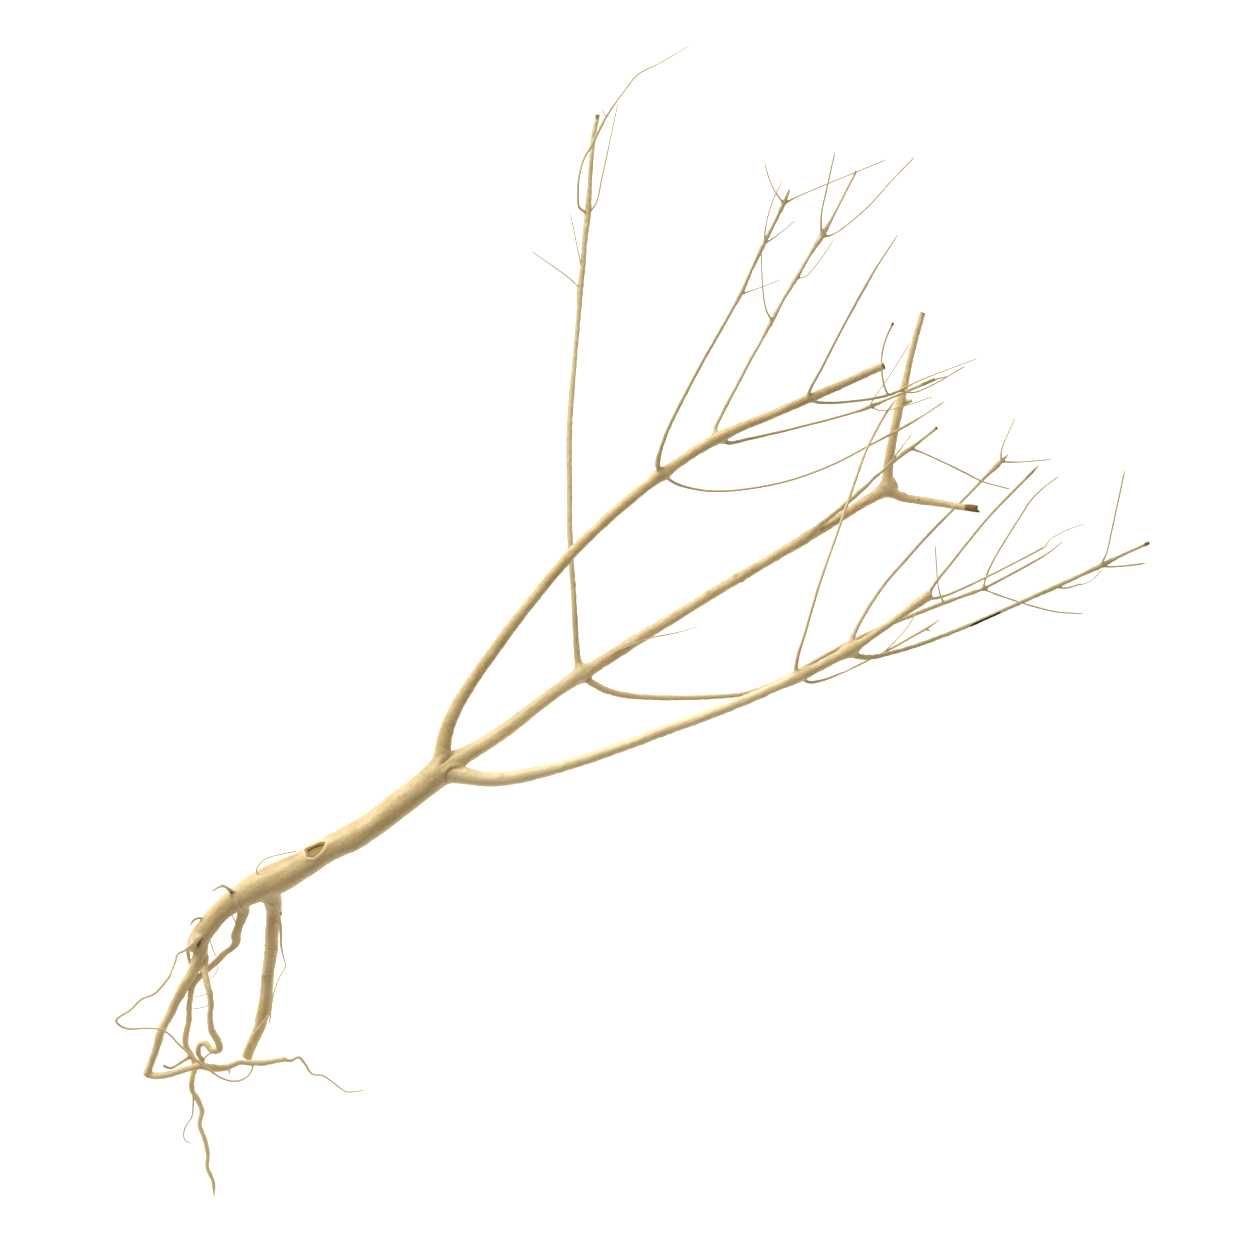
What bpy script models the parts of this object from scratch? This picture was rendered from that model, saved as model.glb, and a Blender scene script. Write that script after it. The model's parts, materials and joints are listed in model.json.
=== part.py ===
"""A dry root: the peeled, sun-bleached skeleton of a small woody plant, lying on a surface.

The plant grew as one piece, so the model is one closed solid. Its frame has +X along the
plant, from the roots to the branch tips, +Y across it and +Z up. The origin is at the
surface that it lies on, under the middle of its outline.
"""

import math
from dataclasses import dataclass

import bpy
import bmesh
from mathutils import Matrix, Vector

# --- Driving dimensions --------------------------------------------------------------------

MM = 0.001  # the paths below are written in millimetres

THICK_DIAMETER = 7.0  # shoots at least this thick are drawn with the most sides
LIMB_DIAMETER = 3.0
TWIG_DIAMETER = 1.9
THICK_SIDES = 12
LIMB_SIDES = 8
TWIG_SIDES = 6
FINE_SIDES = 5

BEND_LIMIT = math.radians(16.0)  # a sharper bend between two points is rounded
BEND_STEPS = 3  # points that round such a bend, on each stretch beside it

WOUND_CENTRE = Vector((-132.0, -51.4, 47.7)) * MM
WOUND_LENGTH = 9.5 * MM
WOUND_WIDTH = 3.2 * MM
WOUND_DEPTH = 1.8 * MM
WOUND_NORMAL = Vector((0.0, 0.45, 0.89))

WOOD_COLOUR = (0.56, 0.45, 0.27, 1.0)
WOOD_ROUGHNESS = 0.72


@dataclass(frozen=True)
class Shoot:
    """A root, limb or twig: where it springs from and its route, with a diameter at each point.

    Each point is (x, y, z, diameter), in millimetres. The first lies in the parent shoot.
    """

    name: str
    parent: str
    path: tuple


# --- The plant's shoots --------------------------------------------------------------------

# The stem runs on as the middle limb, to the fork at its far end.
AXIS = Shoot("axis", "", (
    (-201, -58.5, 33, 6.4), (-196, -55.5, 35, 9.2), (-189, -53, 37, 9.2), (-180, -51, 38.5, 9.0),
    (-171, -50.3, 40, 10.4), (-160, -51.2, 41, 13.2), (-150, -52.6, 41.5, 13.8),
    (-140, -53.4, 42, 12.2), (-129, -53.6, 42.5, 11.4), (-117, -54.8, 43, 12.0),
    (-105, -55.2, 43.5, 11.5), (-90, -54.1, 44, 11.5), (-78, -53.1, 44.5, 11.4),
    (-68, -52, 45, 12.0), (-60, -51.6, 45, 8.6), (-50, -52.2, 44.8, 6.8), (-35, -52.3, 44, 6.4),
    (-20, -51.1, 43, 5.8), (-5, -50.2, 42, 5.8), (5, -50, 41, 6.6), (13, -50.2, 40.4, 5.5),
    (30, -50.4, 38.5, 5.3), (50, -51, 36, 4.7), (75, -51.7, 33.5, 4.6), (100, -52.7, 31, 4.3),
    (119, -53.4, 29.6, 4.8), (135, -54, 29, 4.2), (150, -54.2, 28.5, 4.6), (160, -54.6, 28, 5.6),
    (164.3, -54.6, 28, 2.6),
))

ROOTS = (
    Shoot("taproot", "axis", (
        (-197, -57, 34, 7.0), (-202.6, -63, 31, 6.2), (-208.7, -68.4, 28, 5.2), (-216, -71.8, 25, 4.5),
        (-224, -76.8, 21.5, 3.8), (-231, -80.4, 18.5, 3.6), (-237.6, -86.2, 14.5, 3.3),
        (-243.6, -90.7, 11, 3.3), (-247.4, -93.2, 9.5, 3.0),
    )),
    Shoot("creeping_root", "taproot", (
        (-246.4, -92.6, 10, 2.6), (-243.4, -95.4, 10.8, 3.2), (-238, -98, 13, 3.0),
        (-231, -99.8, 15.5, 3.0), (-225, -102, 17, 3.2), (-221.2, -105.5, 16.5, 3.3),
        (-216.1, -108.6, 15.5, 3.1), (-210, -110.2, 14.5, 2.4), (-205, -113.6, 13, 2.4),
        (-199, -117, 11.5, 2.3), (-193, -119.6, 10.5, 2.0), (-190.8, -121.6, 10, 1.4),
        (-187.4, -122.2, 9.5, 1.2), (-186.6, -126, 8, 1.1), (-186.4, -131.5, 6, 0.9),
        (-183, -134.6, 5, 0.8), (-180.5, -140.5, 3.5, 0.7), (-178.5, -145.8, 2, 0.7),
        (-174.5, -148.3, 1, 0.6), (-171, -149.8, 0.5, 0.6),
    )),
    Shoot("thick_root", "axis", (
        (-159.5, -54, 39, 7.0), (-161.4, -60.9, 34, 6.6), (-165.4, -68.3, 29, 6.1),
        (-170.8, -75.6, 24, 6.0), (-177, -83, 19.5, 5.8), (-184, -91.5, 14, 5.8),
        (-190, -98, 10, 5.7), (-196, -103.1, 7, 5.0), (-202, -107, 4.2, 4.6),
        (-206.5, -110, 2.3, 4.4),
    )),
    Shoot("clinging_rootlet", "axis", (
        (-159.5, -54.5, 39, 2.6), (-160.6, -60, 37.5, 2.2), (-161.5, -65.5, 36, 1.8),
        (-164, -71, 33, 1.4), (-166.5, -76.5, 30, 0.9), (-169, -82.5, 27, 0.7),
        (-171.5, -86.7, 24.5, 0.6), (-176, -89, 21.5, 0.6), (-181.5, -93.3, 18.5, 0.6),
        (-184.3, -96.5, 17, 0.7), (-187, -99.2, 15, 0.9), (-194, -102, 10.6, 0.9),
        (-199, -104, 8, 0.7),
    )),
    Shoot("wandering_root", "axis", (
        (-170, -52, 38, 5.0), (-173, -56.5, 35.5, 4.4), (-177.5, -60, 33.5, 3.6),
        (-181.5, -63, 32, 3.4), (-183, -65.7, 31, 3.3), (-189, -66.6, 30.5, 2.9),
        (-196, -68.4, 29.5, 2.7), (-203, -69.6, 28.2, 2.6), (-208, -71, 26.4, 2.6),
        (-213, -76.2, 23, 2.7), (-218, -82.7, 19.5, 2.6), (-223.4, -88, 16, 2.8),
        (-225.3, -92.5, 13.5, 2.6), (-225.5, -97, 11, 2.8), (-227, -101, 9.5, 2.6),
        (-230.8, -104.8, 9, 2.5), (-233.7, -109.2, 8.5, 2.5), (-233.9, -114, 8, 2.4),
        (-235, -118.8, 7.2, 2.3), (-239.3, -123.6, 6.5, 2.2), (-240.6, -130, 5.5, 2.0),
        (-243, -135.5, 4, 2.0), (-246.5, -140.5, 2.8, 1.9), (-247.8, -147, 1.8, 1.7),
        (-251, -152.7, 0.7, 1.3),
    )),
    Shoot("wandering_rootlet", "wandering_root", (
        (-233.8, -110.5, 8.5, 1.0), (-237, -115, 8, 0.7), (-240, -118.6, 7.5, 0.6),
        (-245.5, -121.4, 7, 0.6), (-248, -125.2, 6, 0.6), (-246.6, -128.4, 5.5, 0.5),
    )),
    Shoot("wandering_stub", "wandering_root", (
        (-225.5, -96.5, 11.2, 2.0), (-230.5, -96.4, 12, 1.4), (-236, -95.9, 13.5, 1.3),
        (-238.2, -93.2, 14.5, 1.4),
    )),
    Shoot("coiled_root", "axis", (
        (-195, -56.5, 36, 4.4), (-198.2, -64, 37.5, 3.6), (-200.9, -70.4, 36.5, 3.2),
        (-203.4, -76.9, 35, 3.1), (-205.5, -81.7, 33.5, 2.8), (-209.4, -86.7, 31, 2.7),
        (-211.8, -92, 29, 3.0), (-212.3, -97.5, 27, 3.2), (-214, -100.7, 25.5, 3.2),
        (-216.6, -99, 24, 3.0), (-217.2, -95.2, 23, 2.8), (-219.8, -94.4, 22, 2.4),
        (-222.4, -97, 20.5, 2.4), (-222.8, -101, 18, 2.2),
    )),
    Shoot("looping_root", "axis", (
        (-198, -57.5, 36.5, 2.4), (-202, -57.6, 39.5, 1.6), (-205.5, -56.2, 41, 1.4),
        (-209, -59, 42, 1.3), (-213.5, -62.2, 42.5, 1.2), (-218.5, -63.9, 42, 1.2),
        (-224, -65, 41, 1.2), (-229.5, -64, 40, 1.2), (-236, -65.2, 38, 1.1),
        (-243.8, -65.8, 36, 1.2), (-243.6, -69, 35, 1.1), (-241.6, -71.6, 34, 1.0),
        (-236, -75, 31, 0.9), (-230.8, -79, 27.5, 0.9), (-228.4, -83, 25.5, 1.0),
        (-227, -90, 24, 1.0), (-225.4, -97, 22.5, 1.1), (-223.2, -103.5, 21, 1.1),
        (-219.5, -112, 18.5, 0.9), (-216, -115.6, 17, 0.8), (-212, -117.1, 15.5, 0.8),
        (-208.5, -116.6, 14, 0.8), (-205, -113.8, 13, 0.8),
    )),
    Shoot("collar_rootlet", "axis", (
        (-189, -52.5, 38.5, 1.6), (-189.3, -48.7, 40, 1.2), (-192.4, -47.8, 40.5, 1.1),
        (-195.2, -49.6, 40.5, 1.0),
    )),
    Shoot("forked_rootlet", "axis", (
        (-171.4, -49, 42, 2.8), (-172, -45.4, 46, 1.8), (-172.8, -43.2, 46.6, 1.3),
        (-174.6, -42, 46.6, 1.0), (-178.5, -41.8, 46, 0.7),
    )),
)

SIDE_LIMBS = (
    Shoot("left_limb", "axis", (
        (-69, -51.6, 45, 8.0), (-63, -45.4, 46, 7.2), (-56, -38.3, 47.4, 6.2),
        (-46, -31.9, 49, 5.7), (-33, -25.9, 51, 5.2), (-15, -18.8, 54, 5.1), (5, -11.8, 57, 4.6),
        (30, -4.2, 60, 4.8), (55, 0.6, 61.5, 4.7), (75, 2.8, 62, 4.8), (82, 3.1, 62, 5.4),
        (90, 3.6, 62, 4.5), (103, 3.7, 62, 4.7), (110, 3.2, 62, 5.4), (118, 2.2, 61.5, 4.3),
        (135, -1, 60, 3.9), (152, -3.9, 58, 4.1), (170, -6.9, 56, 3.6), (186.6, -9.4, 54, 3.6),
    )),
    Shoot("right_limb", "axis", (
        (-69, -51.6, 45, 8.4), (-62, -57.8, 45.8, 7.8), (-54.2, -65, 47, 6.6),
        (-45.2, -70.4, 48.3, 6.1), (-33, -75.3, 49.8, 5.6), (-18, -80.2, 51, 4.9),
        (0, -84.8, 52, 4.7), (20, -89.3, 52.8, 4.5), (40, -93.8, 53, 4.5), (60, -97.9, 52.8, 4.4),
        (74, -100.2, 52.4, 4.3), (83, -101.5, 52, 5.6), (92, -102.7, 51.4, 4.2),
        (101, -103.5, 50.6, 4.4), (107.5, -104, 50, 6.0), (114, -104.2, 49.3, 3.8),
        (125, -104, 48.2, 3.0), (138, -103.4, 46.9, 3.2), (145, -103, 46.2, 4.4),
        (150.3, -103, 45.6, 3.6),
    )),
    Shoot("up_branch", "axis", (
        (159.5, -54.5, 28, 5.4), (162.5, -50.3, 28, 4.8), (167, -44.6, 28, 4.4),
        (172.5, -38.6, 27.8, 4.0), (178.5, -32.4, 27.5, 3.9), (184, -26.8, 27, 4.2),
        (187.5, -23.5, 26.8, 3.8), (192.5, -18.8, 26.3, 3.1), (199, -12.4, 25.6, 2.9),
        (206, -5.9, 25, 2.8), (213.6, 0.6, 24.2, 2.6),
    )),
    Shoot("up_branch_stub", "up_branch", (
        (184.5, -26.4, 27, 3.2), (187, -28, 27.5, 2.2), (188.8, -28.6, 28, 1.4),
    )),
    Shoot("down_branch", "axis", (
        (159.5, -54.8, 28, 5.2), (162.2, -60.2, 30, 4.2), (168.1, -66.3, 32.5, 3.7),
        (174.2, -71.6, 34.5, 3.3), (179.5, -76.7, 36.5, 3.1), (187, -83, 39, 3.2),
    )),
)

STEM_TWIGS = (
    Shoot("long_twig", "axis", (
        (5, -49.8, 41, 4.0), (7.6, -43.5, 41, 3.1), (11, -37, 40.5, 2.7), (20, -21.4, 39.5, 2.5),
        (34, 3.4, 37, 2.5), (44, 19, 33.5, 2.5), (60, 43.6, 27, 2.6), (80, 69.6, 19.5, 2.2),
        (90, 82.6, 16, 2.3), (95.5, 90, 14, 2.9), (101.4, 97, 12.5, 2.5), (109.3, 107.3, 10.5, 2.6),
        (116, 115.5, 8.5, 3.1), (123.3, 125.3, 6.5, 2.1), (136, 142, 3, 2.2), (142.8, 149, 1, 1.9),
    )),
    Shoot("long_twig_hair", "long_twig", (
        (95.2, 90, 14, 0.9), (94, 96, 15.5, 0.7), (91, 104, 17.5, 0.6), (86.5, 115, 20, 0.5),
    )),
    Shoot("long_twig_loop", "long_twig", (
        (116, 115.6, 8.5, 1.8), (114.3, 119.5, 10.5, 1.2), (117.4, 125.5, 12.5, 1.1),
        (121.8, 131.2, 13, 1.1), (127.5, 136.2, 11, 1.2), (133.4, 139.3, 8.8, 1.3), (145, 146, 8.5, 1.2),
        (152, 149, 9, 0.9), (160, 152, 9, 0.8), (166.5, 154, 9, 0.8), (178, 153, 9, 0.6),
        (192, 152.2, 9, 0.5),
    )),
    Shoot("long_twig_spray", "long_twig", (
        (116.3, 115.2, 8.5, 1.4), (121, 117, 9, 0.8), (130, 125.6, 9.5, 0.7),
        (153, 148.5, 10.5, 0.5),
    )),
    Shoot("under_twig", "axis", (
        (5, -50.2, 41, 4.2), (7, -55.5, 40.5, 3.4), (10.5, -61.5, 39.5, 3.0),
        (17, -68.4, 38, 2.7), (30, -78, 36, 2.4), (45, -87.5, 34, 2.1), (60, -95.3, 32.5, 2.0),
        (75, -98.8, 31, 1.9), (95, -100.2, 29, 1.8), (115, -102, 26.5, 1.8),
        (130, -104.6, 24.5, 1.7), (153, -109.3, 20.5, 1.9), (163, -111.6, 18.5, 1.6),
        (171, -113.6, 17, 2.6),
    )),
    Shoot("under_twig_rise", "under_twig", (
        (170.6, -113.4, 17, 1.4), (175, -109.5, 18.5, 0.9), (182, -105, 21, 0.8),
        (202, -95.5, 26.5, 0.8), (209, -92.4, 28, 0.8), (216, -91, 29, 0.7),
        (224.5, -90.4, 30, 0.7),
    )),
    Shoot("under_twig_tip", "under_twig", (
        (170.6, -113.6, 17, 1.8), (178, -114.2, 16, 1.2), (196, -115.6, 13, 1.1),
        (204, -115.8, 11.5, 0.7), (211, -115.1, 10.5, 0.5),
    )),
    Shoot("under_twig_fall", "under_twig", (
        (170.6, -113.7, 17, 1.2), (175.5, -120.3, 14.5, 0.8), (187, -134, 9, 0.8),
        (192.5, -139.5, 6.5, 0.7), (201.5, -146.3, 3, 0.6),
    )),
    Shoot("under_twig_hair", "under_twig", (
        (153, -109, 20.5, 1.0), (154.5, -103, 24, 0.6), (163.3, -86.4, 33, 0.5),
    )),
    Shoot("side_twig", "axis", (
        (117, -53.4, 30, 3.2), (125, -52.3, 32.5, 2.7), (135, -51.2, 35, 2.2),
        (148, -49.4, 37.5, 1.9), (160, -47.6, 39.5, 1.8), (170, -46, 41, 1.8),
        (177, -45.6, 41.5, 2.0), (184, -45, 42, 1.3), (191.5, -44.3, 42.5, 1.4),
    )),
    Shoot("side_twig_fall", "side_twig", (
        (177, -45.8, 41.5, 1.6), (180.5, -50.2, 40, 0.8), (191, -67, 34, 0.9),
        (195.5, -74.5, 31.5, 0.7), (204, -84, 28, 0.6),
    )),
    Shoot("side_twig_spur", "side_twig", (
        (165, -46.8, 40.2, 1.3), (170, -44.6, 41.5, 0.8), (181, -40.7, 43.5, 0.6),
    )),
)

LEFT_TWIGS = (
    Shoot("crest_twig", "left_limb", (
        (82, 3, 62, 3.4), (81.5, 7, 64.5, 2.6), (84.9, 11.2, 67.5, 2.1), (90.3, 15.5, 71, 1.8),
        (98.2, 20.7, 75, 1.7), (120, 33, 84.5, 1.5), (135, 40.8, 90, 1.5), (145, 46, 93.5, 1.5),
        (151.5, 49.5, 95.5, 2.0), (160, 55, 98, 1.5), (171, 61.8, 101.5, 2.0),
        (180, 67, 104, 1.5), (187.5, 71.6, 106, 2.0), (192.5, 75.2, 107.5, 1.0),
    )),
    Shoot("crest_hair_low", "crest_twig", (
        (151, 49.2, 95.4, 1.0), (157, 47.7, 96, 0.6), (169, 45, 97, 0.5),
    )),
    Shoot("crest_hair_left", "crest_twig", (
        (171, 61.9, 101.5, 1.0), (176.5, 68.5, 105, 0.6), (184, 75, 107.5, 0.6),
        (192, 80, 109, 0.5),
    )),
    Shoot("crest_hair_right", "crest_twig", (
        (170.5, 61.5, 101.4, 0.9), (178, 61.8, 101, 0.6), (188, 62.9, 100, 0.5),
    )),
    Shoot("crest_tip_left", "crest_twig", (
        (187.2, 71.6, 106, 1.2), (187, 78, 108, 0.6), (188, 84.5, 109.5, 0.6),
        (190, 91, 110.5, 0.5),
    )),
    Shoot("crest_tip_right", "crest_twig", (
        (187.2, 71.4, 106, 1.3), (193, 71, 105.5, 0.8), (201, 69.7, 104.5, 0.7),
        (234.5, 63.5, 100, 0.6),
    )),
    Shoot("arching_twig", "left_limb", (
        (81.5, 2.8, 62, 2.6), (83, -1.5, 59.5, 1.7), (86, -6, 57.5, 1.3), (92, -12, 55, 1.1),
        (100.2, -17.7, 52.5, 1.0), (110.2, -22.8, 50, 1.0), (122.1, -27.6, 47, 1.0),
        (135.1, -31.3, 44.5, 1.0), (148, -33.6, 42.5, 1.0), (162, -34.8, 41, 1.0),
        (182, -36.4, 39.5, 1.3), (190, -36.7, 39, 0.8), (200.5, -36.5, 38.5, 0.9),
    )),
    Shoot("spread_twig", "left_limb", (
        (108.5, 3, 62, 3.2), (111, 7.2, 61.5, 2.0), (117, 11, 60.5, 1.7), (138.2, 22.9, 57, 1.5),
        (148.2, 28.2, 55.5, 1.5), (156.7, 32.9, 54, 2.2), (166, 38, 52, 1.5),
        (175.7, 42.7, 50, 2.1), (185.1, 47.4, 48, 1.6), (194.6, 51.8, 46, 2.8), (203, 56.2, 44, 1.4),
        (222.5, 67.3, 39, 1.2),
    )),
    Shoot("spread_curl", "spread_twig", (
        (156.5, 33.4, 54, 1.2), (157, 37.5, 57, 0.8), (160, 45, 62, 0.7),
        (169, 60.5, 73, 0.6),
    )),
    Shoot("spread_hair", "spread_twig", (
        (175.2, 42.8, 50, 1.0), (179, 41, 50, 0.6), (187, 43, 50.5, 0.6), (198.5, 47.8, 51.5, 0.5),
    )),
    Shoot("spread_rise", "spread_twig", (
        (194.2, 52.2, 46, 1.4), (199, 59, 49, 0.9), (208, 68.3, 53.5, 0.8), (219, 79, 58, 0.7),
    )),
    Shoot("spread_sweep", "spread_twig", (
        (194.2, 51.8, 46, 1.6), (198.5, 49.9, 45.5, 0.9), (208, 50.1, 44.5, 0.8),
        (220, 52, 43, 0.8), (233, 55.5, 41.5, 0.7), (247, 58.7, 40, 0.8),
    )),
    Shoot("crossing_twig", "left_limb", (
        (109, 2.6, 62, 3.0), (113, -1.4, 60, 1.9), (120, -4.1, 57.5, 1.5), (142, -12, 51, 1.2),
        (165, -19.3, 43.5, 1.2), (172, -21, 41, 2.0), (180, -22.4, 39, 1.2),
        (190, -24.2, 37, 1.4), (202, -26.3, 35, 1.6),
    )),
    Shoot("crossing_hair_rise", "crossing_twig", (
        (172, -20.9, 41, 1.0), (176, -18.6, 42.5, 0.6), (186, -14.6, 45, 0.5),
        (201.3, -7.4, 48, 0.5),
    )),
    Shoot("crossing_hair_fall", "crossing_twig", (
        (172, -21.2, 41, 0.9), (175.5, -25.2, 40, 0.5), (184, -28.6, 37.5, 0.5),
        (197.5, -32.2, 34, 0.5),
    )),
    Shoot("last_twig", "left_limb", (
        (151.5, -4, 58, 2.6), (154, -7.2, 56, 1.6), (160, -11.3, 53, 1.3), (168, -15.6, 50, 1.2),
        (176, -19.2, 47, 1.3), (182, -21.3, 45, 1.5), (188, -22.3, 43.5, 1.1),
        (196, -23.2, 42, 0.7), (222.5, -28.8, 37, 0.5),
    )),
    Shoot("last_twig_fall", "last_twig", (
        (186.5, -22.2, 43.8, 1.0), (191, -26, 42, 0.8), (199, -27.7, 40, 0.7),
        (216.3, -28.7, 37, 0.6),
    )),
    Shoot("last_twig_rise", "last_twig", (
        (181.3, -21.1, 45.2, 1.2), (182, -17, 46, 0.9), (184, -12.2, 47, 0.9),
        (187, -7, 48, 0.9), (190.5, -3, 49, 0.9), (195, 0.7, 50, 0.9), (200, 3.8, 51, 1.2),
    )),
    Shoot("straight_twig", "left_limb", (
        (151, -3.8, 58, 2.4), (154, -1, 60.5, 1.6), (160, 2.2, 62.5, 1.3), (182, 14.7, 69, 1.2),
        (200, 24.3, 74, 1.3), (206, 27.3, 75.5, 1.0), (222, 34.4, 79, 0.6),
    )),
)

RIGHT_TWIGS = (
    Shoot("bridging_twig", "right_limb", (
        (82.5, -101.4, 52, 3.4), (84.7, -97.1, 54, 1.9), (88.5, -93.2, 55.5, 1.5),
        (95.4, -87.5, 57.5, 1.3), (113, -72.4, 59.5, 1.3), (122, -65.4, 59, 1.2),
        (131, -58.6, 57.5, 1.2), (139, -52.3, 56, 1.4), (155.2, -39.7, 51, 1.3),
        (161.5, -35.2, 49, 1.1), (167.8, -31.6, 45, 1.2), (175.8, -27.4, 39, 1.2), (184, -24.2, 33, 1.0),
    )),
    Shoot("low_twig", "right_limb", (
        (83, -102, 52, 2.4), (85.5, -106, 50.5, 1.5), (91, -108.6, 48, 1.2),
        (100, -110.4, 44.5, 1.0), (120, -113, 37, 1.0), (138, -114.2, 32.5, 1.2),
        (141, -114.3, 32, 1.2), (147.3, -114.2, 31, 0.5),
    )),
    Shoot("low_twig_hair", "low_twig", (
        (119.5, -112.9, 37, 0.9), (127, -111.4, 37.5, 0.5), (134, -109.3, 38.5, 0.5),
        (141, -106, 40, 0.5),
    )),
    Shoot("diving_twig", "right_limb", (
        (107.5, -103.8, 50, 3.6), (112, -100, 48.5, 2.2), (117, -96.9, 46.5, 1.7),
        (126, -92.4, 42.5, 1.6), (137, -88.1, 37.5, 1.4), (150, -84.5, 31.5, 1.4),
        (163, -81, 27, 1.3), (188, -75.7, 22, 1.2), (198, -73.4, 20.5, 1.6),
        (207, -71.6, 19, 2.6), (211.7, -70.6, 18.5, 0.8),
    )),
    Shoot("diving_hair_rise", "diving_twig", (
        (207, -71.5, 19, 1.2), (210, -67.5, 20, 0.7), (222.5, -59, 22, 0.5),
    )),
    Shoot("diving_hair_fall", "diving_twig", (
        (207, -71.8, 19, 1.2), (213, -75.7, 17.5, 0.7), (226, -82.8, 14, 0.6),
    )),
    Shoot("end_twig_left", "right_limb", (
        (148.5, -102.8, 46, 2.2), (154, -100, 47, 1.4), (163, -97, 49, 1.2),
        (188, -88.8, 54, 1.1), (215.5, -82.4, 58, 1.2), (219, -81.6, 58.3, 0.5),
    )),
    Shoot("end_twig_right", "right_limb", (
        (145.5, -103.2, 46, 2.0), (154, -106.5, 44, 1.2), (165, -108.6, 42, 1.1),
        (190, -111.5, 38, 0.9), (203.5, -112.6, 36, 1.0),
    )),
    Shoot("trailing_twig", "right_limb", (
        (106.5, -103.8, 50, 4.4), (109.5, -108.5, 47.5, 2.8), (114.5, -112, 44.5, 2.2),
        (122, -114.8, 41, 2.0), (133, -118.1, 37, 1.8), (158, -123.5, 28.5, 1.8),
        (184, -127.6, 19.5, 1.8), (198, -129.9, 14.5, 2.2), (208, -131.3, 11, 1.7),
        (219, -132.9, 7, 2.4), (230, -134.2, 4, 1.4), (242, -136, 0.85, 1.6),
    )),
    Shoot("trailing_rise", "trailing_twig", (
        (218.5, -132.7, 7.2, 1.4), (224, -129.6, 8, 0.8), (231, -122.8, 9.5, 0.8),
        (250, -103.8, 12.5, 0.8),
    )),
    Shoot("trailing_fall", "trailing_twig", (
        (218.5, -133, 7.2, 1.3), (223, -136, 6, 0.9), (236, -142.7, 1.5, 0.9),
    )),
    Shoot("trailing_hair", "trailing_twig", (
        (197.5, -129.9, 14.5, 1.2), (200.5, -132.5, 13.5, 0.8), (207, -134.7, 11.5, 0.8),
        (208.8, -135.8, 11, 0.5),
    )),
)

SHOOTS = (AXIS,) + ROOTS + SIDE_LIMBS + STEM_TWIGS + LEFT_TWIGS + RIGHT_TWIGS


# --- Modelling -----------------------------------------------------------------------------

def clear_scene():
    """Remove every object, so that the model starts in an empty scene."""
    for thing in list(bpy.data.objects):
        bpy.data.objects.remove(thing, do_unlink=True)


def wood_material():
    """Bleached bare wood."""
    wood = bpy.data.materials.new("bleached_wood")
    wood.use_nodes = True
    shader = wood.node_tree.nodes["Principled BSDF"]
    shader.inputs["Base Color"].default_value = WOOD_COLOUR
    shader.inputs["Roughness"].default_value = WOOD_ROUGHNESS
    shader.inputs["Metallic"].default_value = 0.0
    wood.diffuse_color = WOOD_COLOUR
    return wood


def curve_between(before, start, end, after, t):
    """A point on the smooth curve from start to end, a share t of the way along."""
    return 0.5 * (
        2.0 * start
        + (end - before) * t
        + (2.0 * before - 5.0 * start + 4.0 * end - after) * t * t
        + (3.0 * start - 3.0 * end + after - before) * t * t * t
    )


def bend_at(points, index):
    """The angle by which the route turns at one of its points."""
    if index <= 0 or index >= len(points) - 1:
        return 0.0
    incoming = (points[index] - points[index - 1]).to_3d()
    outgoing = (points[index + 1] - points[index]).to_3d()
    return incoming.angle(outgoing)


def rounded_route(path):
    """The route in metres, with more points where it bends. Each holds its diameter too."""
    points = [Vector(point) * MM for point in path]
    route = [points[0]]
    for index in range(len(points) - 1):
        start, end = points[index], points[index + 1]
        before = points[index - 1] if index else start * 2.0 - end
        after = points[index + 2] if index + 2 < len(points) else end * 2.0 - start
        bend = max(bend_at(points, index), bend_at(points, index + 1))
        steps = BEND_STEPS if bend > BEND_LIMIT else 1
        for step in range(1, steps + 1):
            route.append(curve_between(before, start, end, after, step / steps))
    return route


def sides_for(path):
    """How many sides a shoot's tube has, from how thick it is past its flared base."""
    diameter = max(point[3] for point in path[1:])
    if diameter >= THICK_DIAMETER:
        return THICK_SIDES
    if diameter >= LIMB_DIAMETER:
        return LIMB_SIDES
    if diameter >= TWIG_DIAMETER:
        return TWIG_SIDES
    return FINE_SIDES


def nearest_on_route(place, route):
    """The point of a route's centre line that is nearest to a place."""
    best = None
    for start, end in zip(route, route[1:]):
        run = (end - start).to_3d()
        share = max(0.0, min(1.0, (place - start.to_3d()).dot(run) / run.length_squared))
        spot = start.lerp(end, share).to_3d()
        if best is None or (spot - place).length < (best - place).length:
            best = spot
    return best


def seated_route(shoot, routes):
    """The shoot's route, its first point moved onto its parent's centre line."""
    route = rounded_route(shoot.path)
    if shoot.parent:
        seat = nearest_on_route(route[0].to_3d(), routes[shoot.parent])
        route[0] = Vector((*seat, route[0].w))
    return route


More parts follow.
